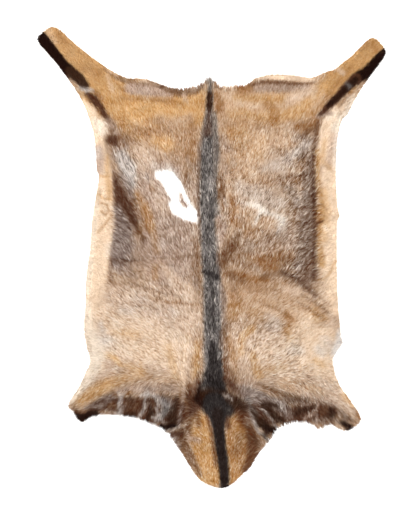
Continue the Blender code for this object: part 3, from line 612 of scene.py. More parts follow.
        ("elbow rim", Tone.MILK, 0.9, 5, (340, 330, 2.4), (340, 342, 4.4), (336, 352, 4), (333, 362, 2.4)),
        ("elbow low", Tone.PEACH, 0.8, 10, (319, 362, 5), (322, 374, 6)),
        ("elbow gold", Tone.GOLD, 0.5, 5, (315, 360, 2), (326, 366, 3)),
        ("elbow grey", Tone.ROSE_GREY, 0.35, 4, (326, 336, 1), (333, 346, 1.2)),
    ),
    "chest and foreleg, right": (
        ("foreleg", Tone.PALE_FAWN, 0.95, 9, (322, 386, 8), (334, 394, 8.5), (348, 406, 7)),
        ("foreleg shoulder", Tone.FAWN, 0.85, 9, (284, 384, 7), (304, 388, 8), (318, 394, 6)),
        ("foreleg pale edge", Tone.PEACH, 0.85, 6, (330, 362, 5), (334, 378, 5), (346, 394, 3)),
        ("foreleg gold", Tone.GOLD, 0.5, 4, (344, 396, 2.5), (353, 407, 2.5)),
        ("foreleg light", Tone.PALE_FAWN, 0.7, 4, (298, 386, 2), (304, 393, 3), (311, 396, 2)),
        ("chest fade", Tone.ROSE_GREY, 0.7, 9, (244, 382, 4), (262, 385, 3), (290, 396, 3), (318, 399, 3),
         (336, 406, 3)),
        ("chest dark", Tone.DEEP_BROWN, 0.95, 5, (236, 405, 5), (248, 411, 7), (262, 415, 12),
         (276, 413, 11), (290, 415, 7), (306, 413, 9), (322, 413, 9), (331, 412, 7)),
        ("chest grey 1", Tone.MOLE, 0.95, 5, (243, 390, 6), (254, 396, 8), (268, 402, 6), (282, 407, 6),
         (290, 416, 4)),
        ("chest silver field", Tone.SILVER, 0.2, 6, (249, 388, 4), (262, 396, 4)),
        ("chest slate", Tone.SLATE, 0.6, 5, (247, 399, 3), (251, 408, 3.4), (253, 414, 2)),
        ("chest slate 2", Tone.SLATE, 0.5, 4, (256, 410, 1.4), (258, 416, 1.6)),
        ("chest umber line", Tone.UMBER, 0.85, 3.5, (259, 383, 1.2), (270, 389, 2.4), (283, 394.5, 2.4),
         (300, 399, 2)),
        ("chest grey 2", Tone.BARK, 0.8, 5, (287, 399, 3), (298, 402, 3.5), (309, 402, 2.6)),
        ("chest soot 1", Tone.SOOT_BROWN, 0.9, 3, (251, 411, 1.6), (256, 419, 3), (259, 425, 2.4)),
        ("chest soot 6", Tone.SOOT_BROWN, 0.85, 3.5, (262, 404, 1.4), (269, 404.5, 3), (277, 407, 2.4)),
        ("chest soot 2", Tone.SOOT_BROWN, 0.9, 3.4, (263, 407, 2.4), (269, 412, 4.4), (276, 419, 4.4),
         (283, 422, 2)),
        ("chest soot 3", Tone.SOOT_BROWN, 0.9, 3, (262, 421, 3), (269, 430, 4.4), (266, 437, 2)),
        ("chest black", Tone.BLACK, 0.85, 3.5, (263, 427, 2.4), (271, 430, 3.4), (275, 428, 2)),
        ("chest silver 1", Tone.SILVER, 0.8, 2.4, (248, 409, 1.2), (252.5, 418, 2), (256, 427, 2),
         (260, 434, 1.4)),
        ("chest slate by the neck", Tone.SLATE, 0.7, 3.5, (263, 434, 1.6), (267, 440, 1.8)),
        ("chest silver 2", Tone.SILVER, 0.6, 2.2, (260, 409, 1), (266, 412, 1.5), (271, 419, 1.2),
         (276, 427, 1)),
        ("chest silver 3", Tone.SILVER, 0.4, 2.6, (275, 398, 1.5), (281, 405, 2.2), (286, 411, 1.6)),
        ("chest soot by the arch", Tone.SOOT_BROWN, 0.75, 3.5, (279, 421, 1.8), (285, 420, 1.8)),
        ("chest umber by the arch", Tone.DEEP_BROWN, 0.45, 4, (288, 409, 1.8), (291, 417, 2.2)),
        ("chest bark under the line", Tone.BARK, 0.5, 5, (279, 398, 2.4), (288, 404, 2.8)),
        ("chest chestnut 1", Tone.DEEP_BROWN, 1.0, 2.6, (297, 416, 3.4), (299, 411, 4), (307, 410, 3.6),
         (313, 408.5, 1.6)),
        ("chest chestnut heart", Tone.SOOT_BROWN, 0.85, 3, (296, 414, 2.6), (300, 412.5, 3),
         (307, 410.5, 2.2), (312, 408.5, 1.2)),
        ("chest chestnut 2", Tone.CHESTNUT, 0.75, 2.6, (322, 415, 2.5), (325, 410, 3.6), (328, 406, 1.8)),
        ("chest patch by the line", Tone.DEEP_BROWN, 0.6, 2.6, (299, 400, 1.2), (305, 401.5, 1.6)),
        ("chest patch low", Tone.DEEP_BROWN, 0.7, 2.6, (311, 418, 1.3), (315, 420, 1.8)),
        ("chest taupe spots", Tone.TAUPE, 0.6, 3.4, (321, 403, 1.2), (326, 402.5, 2), (332, 405, 2.2)),
        ("chest grey 3", Tone.BARK, 0.8, 3.5, (314, 422, 1.4), (322, 422, 2.8), (332, 422, 2.4)),
        ("chest silver 5", Tone.ROSE_GREY, 0.95, 2.1, (301, 406, 0.4), (310, 404.5, 0.7), (319, 402, 1),
         (317, 409, 1.4), (312, 415.5, 1.6), (305, 419, 1.2)),
        ("chest silver 6", Tone.ROSE_GREY, 0.8, 2, (316, 411, 0.8), (317.5, 418, 1), (317, 426, 1)),
        ("chest soot 5", Tone.SOOT_BROWN, 0.85, 4, (331.5, 410, 2.2), (333, 414, 3), (331, 418, 2.2)),
        ("foreleg grey", Tone.BARK, 0.8, 4, (341, 412, 2.2), (346, 418, 3.4), (351, 420, 2)),
        ("forefoot", Tone.BLACK, 0.95, 3, (342, 422.5, 1.8), (347.5, 426, 3), (351, 427.3, 2)),
        ("forefoot gold", Tone.OCHRE, 0.8, 2.6, (357, 412, 1.2), (358, 418, 1.8)),
        ("forefoot cream", Tone.PEACH, 0.85, 1.6, (340, 428.5, 0.7), (346, 430, 0.8)),
        ("foreleg fawn", Tone.PALE_FAWN, 0.7, 4, (349, 409, 2.6), (353.5, 414, 2.2)),
    ),
    "neck": (
        ("neck pink, left", Tone.ROSE_GREY, 0.8, 6, (190, 438, 3), (198, 440, 3)),
        ("neck edge, left", Tone.UMBER, 0.85, 5, (181, 440, 3), (187, 450, 4), (194, 464, 4),
         (200, 474, 2)),
        ("neck taupe edge, left", Tone.TAUPE, 0.55, 4, (187, 449, 1.6), (190, 458, 1.6)),
        ("neck brown, upper left", Tone.CHESTNUT, 0.7, 8, (188, 416, 5), (188, 432, 3)),
        ("neck brown, top left", Tone.CHESTNUT, 0.6, 6, (196, 412, 3), (198, 424, 3)),
        ("neck umber, top left", Tone.UMBER, 0.45, 6, (190, 422, 3), (198, 414, 2.6)),
        ("neck brown, right", Tone.CHESTNUT, 0.95, 7, (250, 428, 4), (254, 444, 7), (252, 458, 5.5),
         (245, 470, 3)),
        ("neck top, right", Tone.CHESTNUT, 0.85, 8, (240, 410, 6), (246, 421, 6)),
        ("neck tan corner, right", Tone.TAUPE, 0.5, 5, (247, 419, 2), (250, 425, 2)),
        ("neck shade, right", Tone.UMBER, 0.45, 9, (240, 436, 4), (238, 450, 5)),
        ("neck side top, right", Tone.DEEP_BROWN, 0.8, 6, (226, 416, 3), (228, 426, 2.5)),
        ("neck brown by the stripe, left", Tone.CHESTNUT, 0.8, 5, (207, 414, 1.5), (211, 430, 1.8),
         (213.5, 445, 2), (216, 464, 2)),
    ),
    "belly bands": (
        ("belly band, left", Tone.PEACH, 1.0, 4.5, (82, 100, 2), (88, 110, 6), (95, 122, 8.5), (94, 136, 8),
         (96, 150, 9), (101, 175, 11), (101, 200, 12), (100, 225, 14), (97, 250, 13), (93, 275, 14)),
        ("belly band fading, left", Tone.PEACH, 0.9, 12, (94, 275, 10), (92, 300, 10), (92, 330, 6)),
        ("belly cream, left", Tone.CREAM, 0.95, 7, (95, 120, 3), (100, 125, 6), (102, 131, 5)),
        ("belly cream edge, left", Tone.CREAM, 0.7, 6, (96, 205, 3), (93, 232, 3), (89, 262, 3),
         (87, 292, 3)),
        ("belly rose, left", Tone.ROSE_GREY, 0.8, 7, (98, 148, 4), (100, 160, 5), (98, 171, 4)),
        ("belly tan, left", Tone.TAN, 0.65, 6, (107, 156, 1.4), (107, 176, 2), (109, 188, 3),
         (109, 198, 2)),
        # Painted shade: the curl, the fold and the two lines across the left belly band darken where its edge
        # ripples
        ("belly curl shade, left", Tone.BRONZE, 0.7, 2, (100, 203, 0.6), (107, 204.5, 0.8), (109, 211, 0.8),
         (105, 215, 0.8), (101, 211, 0.6)),
        ("belly fold, left", Tone.BRONZE, 0.7, 2.2, (112, 214, 0.7), (105, 224, 0.9), (97, 232, 0.6)),
        ("belly line 2, left", Tone.TAN, 0.7, 2.2, (95, 190, 0.6), (103, 198, 0.8), (112, 200, 0.6)),
        ("belly line 1, left", Tone.TAN, 0.8, 2.2, (94, 174, 0.6), (104, 176, 0.8), (113, 175, 0.6)),
        ("belly grey, low left", Tone.ROSE_GREY, 0.2, 10, (96, 322, 4), (100, 334, 5)),
        ("elbow cream, left", Tone.CREAM, 0.9, 10, (87, 304, 3), (88, 326, 5), (92, 340, 7), (98, 354, 8)),
        ("foreleg pale edge, left", Tone.CREAM, 0.95, 8, (95, 356, 6), (92, 368, 8), (86, 380, 6.5),
         (78, 391, 4.5), (71, 401, 2)),
        ("belly band, right", Tone.PEACH, 1.0, 4.5, (332, 106, 5), (332, 118, 8), (329, 130, 9),
         (328, 150, 10), (329, 175, 11), (329, 200, 11), (329, 225, 10), (329, 250, 11), (332, 275, 11)),
        ("belly band fading, right", Tone.PEACH, 0.85, 10, (332, 275, 8), (332, 296, 8), (336, 312, 4)),
        ("belly cream, right", Tone.CREAM, 0.7, 6, (338, 112, 3), (328, 118, 3)),
        ("belly white, right", Tone.MILK, 0.75, 6, (339, 128, 3), (338, 146, 3.5), (337, 166, 3)),
        ("belly rose, right", Tone.ROSE_GREY, 0.5, 6, (334, 130, 2), (331, 148, 3), (328, 166, 3.5)),
        # Painted shadow of a fold in the right belly edge
        ("belly tan fold, right", Tone.TAN, 0.5, 5, (325, 140, 1.5), (322, 160, 2), (330, 168, 2)),
        ("belly tan, right", Tone.GOLD, 0.45, 6, (325, 190, 2.5), (328, 212, 3), (324, 240, 3)),
        ("belly fringe, right", Tone.TAN, 0.85, 4, (317.5, 150, 2), (318, 166, 2.6), (318.5, 184, 2),
         (322, 200, 3.5), (322, 216, 4), (319.5, 238, 1.8), (320.5, 250, 3), (322, 264, 4)),
        ("belly peach by the waist, right", Tone.PEACH, 0.55, 6, (322, 286, 2.6), (322, 301, 3)),
    ),
    "finer marks, left": (
        ("shoulder cream by the leg", Tone.CREAM, 0.4, 8, (117, 322, 4), (117, 345, 4)),
        ("foreleg fawn", Tone.FAWN, 0.4, 6, (114, 382, 2.6), (120, 381, 2.6)),
        ("belly milk, waist left", Tone.MILK, 0.3, 7, (108, 246, 3), (108, 254, 3)),
        ("waist milk", Tone.MILK, 0.3, 7, (136, 298, 3), (144, 298, 3)),
        ("loin tan", Tone.TAN, 0.3, 7, (140, 225, 3.4), (140, 236, 3.4)),
        ("flank mole, loin left", Tone.MOLE, 0.4, 6, (116, 230, 2.4), (116, 238, 2.4)),
        ("rib milk", Tone.MILK, 0.35, 7, (170, 169, 3), (176, 171, 3)),
        ("rib silver by the spine", Tone.SILVER, 0.5, 5, (187, 158, 2), (189, 166, 2)),
        ("rib milk by the patch", Tone.MILK, 0.4, 7, (147, 175, 2.6), (150, 182, 2.6)),
        ("waist mole", Tone.MOLE, 0.4, 7, (129, 273, 3), (135, 276, 3)),
        ("belly milk, shoulder left", Tone.MILK, 0.5, 6, (100, 322, 2.4), (102, 331, 2.4)),
        ("shoulder cream 3", Tone.CREAM, 0.35, 7, (123, 348, 3), (128, 353, 3)),
        ("shoulder milk 2", Tone.MILK, 0.4, 7, (171, 309, 3), (176, 312, 3)),
        ("waist taupe by the spine", Tone.TAUPE, 0.5, 7, (178, 272, 3), (183, 277, 3)),
        ("rib taupe", Tone.TAUPE, 0.35, 7, (153, 193, 3), (159, 195, 3)),
        ("rump gold by the leg", Tone.GOLD, 0.6, 6, (111, 96, 2.6), (117, 97, 2.6)),
        ("rump bronze by the tail", Tone.BRONZE, 0.4, 7, (167, 104, 3), (181, 104, 3)),
        ("rump tan, low left", Tone.TAN, 0.5, 7, (135, 136, 3), (141, 137, 3)),
        ("rump fawn by the tail", Tone.PALE_FAWN, 0.5, 5, (186, 88, 2), (194, 89, 2)),
        ("rump umber by the leg", Tone.OCHRE, 0.4, 5, (120, 87, 2), (125, 89, 2)),
        ("rump bronze low", Tone.BRONZE, 0.4, 7, (121, 128, 3), (131, 128, 3)),
        ("belly milk, rump left", Tone.MILK, 0.4, 5, (98, 149, 2.4), (98, 156, 2.4)),
        ("belly bronze edge, rump left", Tone.BRONZE, 0.45, 5, (98, 110, 2), (99, 116, 2)),
    ),
    "finer marks, right": (
        ("shoulder milk 1", Tone.MILK, 0.5, 8, (292, 349, 4), (301, 351, 4)),
        ("shoulder milk 2", Tone.MILK, 0.55, 8, (318, 348, 4), (323, 353, 4)),
        ("shoulder milk 3", Tone.MILK, 0.4, 8, (269, 325, 4), (277, 327, 4)),
        ("shoulder fawn by the chest", Tone.PALE_FAWN, 0.55, 6, (301, 381, 2.6), (309, 384, 2.6)),
        ("rib bark low", Tone.BARK, 0.35, 7, (278, 233, 3), (284, 236, 3)),
        ("loin ash 2", Tone.ASH, 0.4, 7, (270, 177, 3), (276, 180, 3)),
        ("flank umber", Tone.UMBER, 0.4, 6, (296, 176, 2.6), (298, 181, 2.6)),
        ("flank mole", Tone.MOLE, 0.35, 7, (287, 160, 3), (291, 164, 3)),
        ("waist chestnut by the spine", Tone.CHESTNUT, 0.35, 6, (232, 271, 2.6), (234, 277, 2.6)),
        ("loin mole", Tone.MOLE, 0.4, 6, (247, 249, 2.6), (252, 252, 2.6)),
        ("rib taupe 1", Tone.TAUPE, 0.5, 7, (239, 200, 3), (243, 205, 3)),
        ("rib silver by the spine", Tone.SILVER, 0.5, 5, (224, 199, 2), (227, 205, 2)),
        ("rib umber 3", Tone.UMBER, 0.3, 7, (263, 233, 3), (268, 236, 3)),
        ("shoulder gold by the spine", Tone.GOLD, 0.6, 7, (241, 340, 3), (241, 352, 3)),
        ("rump ochre 3", Tone.OCHRE, 0.35, 7, (288, 135, 3), (291, 141, 3)),
        ("rump ochre 2", Tone.OCHRE, 0.3, 7, (241, 138, 3), (242, 154, 3)),
        ("rump ochre 1", Tone.BRONZE, 0.4, 7, (232, 128, 3), (234, 140, 3)),
        ("rump milk by the spine", Tone.ASH, 0.4, 7, (270, 160, 2.6), (276, 163, 2.6)),
        ("rib bark by the white", Tone.BARK, 0.35, 6, (240, 215, 2.6), (243, 221, 2.6)),
        ("rib ochre by the waist", Tone.OCHRE, 0.4, 6, (255, 256, 2.6), (260, 261, 2.6)),
        ("flank mole low", Tone.MOLE, 0.6, 6, (296, 200, 2.6), (298, 206, 2.6)),
        ("rib chestnut by the spine", Tone.CHESTNUT, 0.5, 5, (224, 254, 2.2), (225, 261, 2.2)),
        ("rib bark by the flank", Tone.BARK, 0.5, 6, (296, 263, 2.6), (298, 272, 2.6)),
        ("rump bark", Tone.BARK, 0.35, 6, (305, 135, 2.6), (305, 141, 2.6)),
        ("rump mole", Tone.MOLE, 0.45, 6, (305, 144, 2.4), (305, 149, 2.4)),
        ("rump bronze by the leg", Tone.BRONZE, 0.5, 6, (304, 112, 2.6), (314, 115, 2.6)),
        ("rump taupe by the spine", Tone.TAUPE, 0.45, 7, (233, 150, 3), (233, 164, 3)),
        ("belly taupe, rump right", Tone.TAUPE, 0.4, 5, (321, 167, 2.2), (321, 173, 2.2)),
        ("rump peach by the leg", Tone.PEACH, 0.45, 6, (312, 96, 2.6), (315, 100, 2.6)),
        ("loin ash 3", Tone.ASH, 0.4, 7, (280, 185, 3), (290, 187, 3)),
        ("flank silver 2", Tone.SILVER, 0.4, 6, (304, 192, 2.6), (306, 197, 2.6)),
        ("shoulder cream", Tone.CREAM, 0.5, 8, (294, 342, 4), (300, 350, 4)),
        ("rump fawn", Tone.FAWN, 0.5, 7, (254, 121, 3), (261, 123, 3)),
        ("loin mole 2", Tone.MOLE, 0.35, 6, (287, 152, 2.6), (291, 157, 2.6)),
        ("rib taupe 2", Tone.TAUPE, 0.5, 6, (279, 224, 2.6), (283, 228, 2.6)),
        ("rib ash by the spine", Tone.ASH, 0.4, 6, (225, 224, 2.4), (226, 230, 2.4)),
    ),
    "last finer marks": (
        ("waist bark, left", Tone.BARK, 0.35, 7, (170, 264, 2.6), (175, 268, 2.6)),
        ("waist silver by the spine, left", Tone.SILVER, 0.4, 6, (195, 279, 2.4), (196, 286, 2.4)),
        ("rib bark by the spine, left", Tone.BARK, 0.5, 6, (194, 164, 2.4), (195, 173, 2.4)),
        ("flank mole by the belly, left", Tone.MOLE, 0.4, 6, (113, 149, 2), (115, 155, 2)),
        ("foreleg bronze, left", Tone.BRONZE, 0.5, 6, (90, 399, 2.4), (97, 397, 2.4)),
        ("elbow cream 2, left", Tone.CREAM, 0.45, 6, (108, 345, 3), (112, 354, 3)),
        ("hind leg tan, right", Tone.TAN, 0.5, 5, (350, 92, 2.4), (356, 88, 2.4)),
        ("rump edge pale, left", Tone.TAUPE, 0.5, 4, (165, 87.5, 1.4), (175, 88.5, 1.4)),
        ("waist cream by the spine, left", Tone.PALE_FAWN, 0.4, 6, (179, 314, 2.4), (182, 322, 2.4)),
        ("withers mole, left", Tone.MOLE, 0.35, 5, (203, 347, 1.6), (206, 353, 1.6)),
        ("chest milk, left", Tone.MILK, 0.5, 2.2, (143, 396, 0.9), (148, 394, 1.1)),
        ("foreleg bark, right", Tone.BARK, 0.7, 3, (334.5, 418.5, 1.5), (338, 422.5, 1.6)),
        ("elbow gold 2, left", Tone.GOLD, 0.6, 3, (111, 355, 1.2), (115, 359, 2.2), (121, 365, 1.8)),
        ("elbow gold 3, left", Tone.GOLD, 0.5, 3, (140, 362, 1.1), (140, 376, 1.4)),
    ),
    "belly and hock, right": (
        ("belly fringe 2", Tone.BRONZE, 0.85, 3, (318, 204, 1.4), (319.5, 212, 2.6), (319.5, 222, 2.4)),
        ("belly lock 1", Tone.OCHRE, 0.8, 1.6, (316, 185, 0.6), (320, 184, 1), (323, 183, 0.5)),
        ("belly lock 2", Tone.OCHRE, 0.7, 1.6, (317, 189, 0.6), (321, 188, 0.9), (324, 188.5, 0.5)),
        ("belly lock 3", Tone.CHESTNUT, 0.8, 1.6, (316, 194, 0.6), (319, 192, 0.8), (321.5, 192.5, 0.5)),
        ("belly lock 4", Tone.OCHRE, 0.8, 1.6, (317, 206, 0.6), (321, 204, 1), (325, 206.5, 0.6),
         (328, 211, 0.4)),
        ("belly lock 5", Tone.OCHRE, 0.85, 1.6, (316, 217, 0.8), (321, 214, 1), (326, 216, 0.6),
         (329, 220, 0.4)),
        ("belly lock 6", Tone.CHESTNUT, 0.9, 1.8, (316, 224, 1.2), (319, 222, 2), (324, 221, 0.7)),
        ("belly lock 7", Tone.PEACH, 0.6, 1.6, (318, 198, 0.6), (323, 198, 0.8), (327, 202, 0.5)),
        ("belly lock 8", Tone.OCHRE, 0.7, 1.8, (316, 234, 0.8), (319, 232, 1), (321, 229, 0.6)),
        ("belly lock 9", Tone.BRONZE, 0.7, 1.8, (316, 259, 0.8), (321, 257, 0.9), (325, 255, 0.5)),
        ("belly lock 10", Tone.CHESTNUT, 0.8, 2, (313, 280.5, 0.8), (317, 280, 1.2), (321, 278, 0.7)),
        ("belly cream spot", Tone.CREAM, 0.7, 4, (324, 226, 2), (327, 230, 2)),
        # Painted shade along a fold of the right belly edge
        ("belly fold", Tone.TAN, 0.6, 2.4, (336, 259, 0.7), (331, 272, 1), (326, 278, 0.8),
         (318, 280, 0.7)),
        ("hock grey", Tone.TAUPE, 0.9, 4, (318, 116.5, 2), (325, 113.5, 2.5), (331, 113, 2)),
    ),
    "hind leg stripes": (
        ("leg stripe, left", Tone.BLACK, 1.0, 2.2, (41.5, 37.5, 5.6), (52.5, 51, 5.2), (63, 64.5, 5.2),
         (70, 71, 5.2)),
        ("leg stripe end, left", Tone.SOOT_BROWN, 1.0, 3, (70, 71, 5.2), (78, 77.5, 5.4), (85, 85.5, 4.2)),
        ("leg grey spot, left", Tone.SILVER, 0.9, 3, (79, 87.5, 1.5), (86, 89.5, 2.2), (92, 90, 1.6)),
        ("leg stripe, right", Tone.BLACK, 1.0, 2.2, (385.5, 49.5, 2.4), (381.5, 54.8, 4.2),
         (377, 61.6, 5.4), (367, 71.8, 5.6), (356, 78.6, 5.6)),
        ("leg stripe end, right", Tone.DEEP_BROWN, 1.0, 3, (356, 78.4, 5.5), (344.5, 89, 4.3),
         (335.8, 99, 4), (328.5, 106.2, 3.6), (320, 114, 2)),
        ("leg stripe heart, right", Tone.BLACK, 0.75, 3, (356, 79.5, 3.4), (344.5, 90.5, 3.2),
         (336, 98.5, 2.8), (328, 105.8, 2.2)),
        ("leg pale edge, right", Tone.PEACH, 0.75, 4, (364, 87, 1.2), (356, 95, 3.4), (349, 103, 4),
         (342, 109, 2.4)),
        ("leg tan edge, right", Tone.TAN, 0.3, 3, (345, 98, 0.8), (338, 105, 1.4)),
        ("hock cream, right", Tone.CREAM, 0.95, 6, (356, 95, 1.2), (352, 103, 2.6), (349, 112, 4),
         (343, 120, 5.5), (336, 127, 5)),
        ("leg grey spot, right", Tone.SLATE, 0.85, 3.5, (346.5, 83, 1.6), (350, 86, 2.2)),
    ),
    "spine and beside it": (
        ("spine stripe", Tone.SLATE, 1.0, 5.5, (210, 80, 1.2), (210, 100, 2.6), (209, 118, 4.5),
         (208, 134, 6.4), (207.2, 160, 7.4), (207, 190, 7.8), (207, 210, 8.2), (208, 238, 7.8),
         (209.5, 258, 8), (211.5, 274, 8.4), (212.5, 300, 9.2), (213, 335, 9.4), (213.5, 355, 9.6),
         (214.5, 376, 9)),
        ("spine edge, left", Tone.BARK, 0.85, 4, (204, 130, 1.2), (199, 148, 1.6), (198, 176, 1.2),
         (198, 200, 1.2), (200, 240, 1.2)),
        ("spine edge, low right", Tone.MOLE, 0.75, 6, (221, 284, 1.5), (224, 298, 3), (223, 314, 2),
         (226, 335, 1.5)),
        ("spine side, low right", Tone.UMBER, 0.8, 6, (224, 326, 1.5), (226, 344, 2.5), (226, 362, 2)),
        ("spine edge, right", Tone.SLATE, 0.85, 5, (215, 112, 1), (216, 132, 2), (217, 150, 3),
         (216, 170, 1.8), (215.5, 182, 1.4), (215.5, 212, 3.4)),
        ("spine brown, right", Tone.UMBER, 0.75, 5, (222, 176, 1.6), (223.5, 187, 3), (221, 198, 1.6)),
        ("spine frost, right", Tone.SILVER, 0.45, 4, (219, 206, 1.4), (220, 216, 1.4)),
        ("waist chestnut, right", Tone.CHESTNUT, 0.35, 6, (305, 279, 3), (306, 286, 3)),
        ("waist ochre, right", Tone.OCHRE, 0.4, 7, (276, 282, 3.4), (285, 282, 3.4)),
        ("rib umber low, right", Tone.UMBER, 0.4, 6, (288, 256, 3), (291, 262, 3)),
        ("rib ochre low, right", Tone.OCHRE, 0.35, 7, (270, 250, 3), (276, 251, 3)),
        ("loin ash, right", Tone.ASH, 0.45, 7, (278, 167, 3), (285, 173, 3)),
        ("flank bark, right", Tone.BARK, 0.5, 6, (305, 174, 3), (305, 183, 3)),
        ("rib mole, right", Tone.MOLE, 0.35, 7, (246, 240, 3), (252, 244, 3)),
        ("waist bark by the spine, right", Tone.BARK, 0.45, 6, (225, 293, 2), (225, 303, 2)),
        ("rib umber by the spine, right", Tone.UMBER, 0.4, 6, (225, 260, 2), (225, 271, 2)),
        ("rib bark by the spine, right", Tone.BARK, 0.4, 6, (226, 213, 3), (226, 222, 3)),
        ("spine dark, tail", Tone.SOOT_BROWN, 1.0, 3, (209.8, 94, 3), (209.6, 103, 3.8), (209, 110, 2.4)),
        ("spine brown, croup", Tone.DEEP_BROWN, 0.65, 5, (209, 114, 2), (208, 132, 4.5)),
        ("spine dark 1", Tone.CHARCOAL, 0.55, 4, (207, 222, 1), (208, 242, 2)),
        # Painted shadow: the dark band where a crease crosses the spine
        ("spine knot", Tone.CHARCOAL, 0.95, 4, (203, 271, 1.5), (211, 273, 4), (217, 277, 3.2)),
        ("spine centre line", Tone.CHARCOAL, 0.75, 4, (211, 281, 1.5), (212, 291, 1.5)),
        ("spine side, waist right", Tone.BARK, 0.7, 4, (221, 330, 1.4), (221, 347, 2.2)),
        ("spine pale side, low left", Tone.SILVER, 0.2, 4, (205.5, 343, 1.6), (206, 360, 2.2),
         (205, 370, 1.6)),
        ("spine shade, low", Tone.CHARCOAL, 0.4, 5, (212, 304, 3.4), (211, 314, 5), (211, 322, 4)),
        ("spine shade, loin right", Tone.DEEP_BROWN, 0.35, 4, (217.5, 252, 1.6), (217.5, 263, 1.6)),
        ("spine brown by the ribs, left", Tone.BARK, 0.45, 6, (188, 174, 2.6), (188, 184, 2.6)),
        ("spine frost, left", Tone.SILVER, 0.2, 4, (211, 175, 1.8), (211.5, 187, 1.8)),
        ("spine frost, rump", Tone.SILVER, 0.4, 4, (211, 175, 1.8), (211.5, 187, 1.8)),
        ("spine shade, ribs", Tone.CHARCOAL, 0.45, 5, (210, 205, 3.6), (211, 214, 3.6)),
        ("spine shade, rump", Tone.CHARCOAL, 0.25, 5, (204, 160, 2), (206, 172, 3)),
        ("spine slate, loin right", Tone.SLATE, 0.5, 4, (217, 237, 1.6), (217, 247, 1.6)),
        ("spine centre line, low", Tone.CHARCOAL, 0.3, 4, (212, 340, 1.6), (211, 348, 3)),
    ),
    "withers": (
        ("withers", Tone.CHARCOAL, 1.0, 7, (212, 366, 3.5), (212, 376, 9), (212, 390, 15), (213, 402, 13)),
        ("withers top", Tone.CHARCOAL, 0.65, 5, (212, 344, 3.4), (213.5, 357, 5), (215, 370, 6.5)),
        ("withers, upper right", Tone.CHARCOAL, 0.8, 6, (219, 361, 2), (220, 380, 7)),
        ("withers, sides", Tone.SOOT_BROWN, 0.95, 8, (192, 402, 5), (204, 396, 9), (222, 402, 10),
         (236, 402, 5)),
        ("withers foot, right", Tone.CHARCOAL, 0.95, 7, (224, 404, 8), (229, 410, 6)),
        ("withers fade, right", Tone.BARK, 0.8, 8, (231, 382, 3.5), (238, 390, 4)),
        ("withers brown 2, right", Tone.UMBER, 0.7, 6, (230, 370, 2), (234, 378, 3.5)),
        ("withers brown, far left", Tone.CHESTNUT, 0.6, 5, (190, 386, 2.5), (189, 400, 3), (186, 410, 2)),
        ("withers side, right", Tone.SOOT_BROWN, 0.95, 8, (226, 394, 4), (238, 402, 6), (245, 408, 4)),
        ("withers foot, left", Tone.DEEP_BROWN, 0.95, 6, (197, 398, 4), (195, 406, 5), (191, 412, 4)),
        ("withers brown, left", Tone.DEEP_BROWN, 0.7, 6, (199, 372, 1.5), (196, 388, 4), (188, 396, 4)),
        ("withers brown, right", Tone.DEEP_BROWN, 0.75, 6, (226, 378, 3), (234, 388, 4)),
        ("withers pale hair", Tone.SILVER, 0.6, 3.5, (223, 394, 1.2), (229, 396, 2), (232, 399, 1.2)),
        ("withers chestnut, upper right", Tone.CHESTNUT, 0.75, 5, (224, 357, 1.4), (226, 367, 2.6),
         (226.5, 376, 2)),
        ("withers black, left", Tone.BLACK, 0.85, 4, (200, 384, 0.8), (198, 392, 2.2), (197, 399, 3.6),
         (203, 404, 3)),
        ("withers pale hair, left", Tone.SLATE, 0.45, 4, (206, 379, 2), (203, 387, 2)),
    ),
    "neck stripe and spine core": (
        ("neck stripe", Tone.CHARCOAL, 1.0, 3, (214, 402, 11), (217.5, 414, 9), (218.5, 428, 5.8),
         (220.8, 445, 5.5), (223.4, 462, 5.3), (224.4, 478, 4.8), (225, 490, 4.2)),
        ("neck stripe heart", Tone.BLACK, 0.45, 4, (217.5, 412, 6), (218.5, 428, 4), (220.8, 445, 3.6),
         (223.4, 462, 3.6), (225, 488, 3)),
        ("spine line", Tone.CHARCOAL, 0.6, 2, (213.5, 302, 0.8), (213.5, 318, 1), (214, 334, 0.8)),
        ("spine core, low", Tone.CHARCOAL, 0.9, 2.6, (212.5, 342, 2.4), (212.5, 350, 3.4), (213, 360, 4)),
        ("spine silver knot, low", Tone.SILVER, 0.4, 2.6, (210.5, 337, 1), (216, 338.5, 1.2)),
    ),
}
MARKINGS = charted(Marking, 4, tuple(row for rows in CHART.values() for row in rows))
GROUND = Tone.DUN
VIVID = 0.95  # how vivid the painted markings are beside the chart, since the shaded hair deepens them
PALE_HAIR = (252, 238, 226)  # what the light hairs among the dark ones tend to
GLOW_START = 245.0  # the display value from which a colour counts as white
GLOW_SPAN = 35.0  # and how far past it the white is pure
DISPLAY_GAMMA = 2.2  # the power by which light is taken as display value where the exact curve isn't needed


@dataclass(frozen=True)
class HairZone:
    """How the hair grows along a path, whose rows are x, y and half width in photograph pixels."""

    place: str
    length: float  # of a strand, in mm
    width: float
    crowd: float  # the share of the roots that carry a strand
    mottle: float  # how much the strands' shades differ
    gather: float  # how much the strands lean together in locks
    share: float  # how far the zone changes the hair below it, and the width of its soft edge
    soft: float
    path: tuple


BODY_HAIR = HairZone("body", 8.5, 1.5, 0.80, 0.20, 0.35, 1, 1, ())

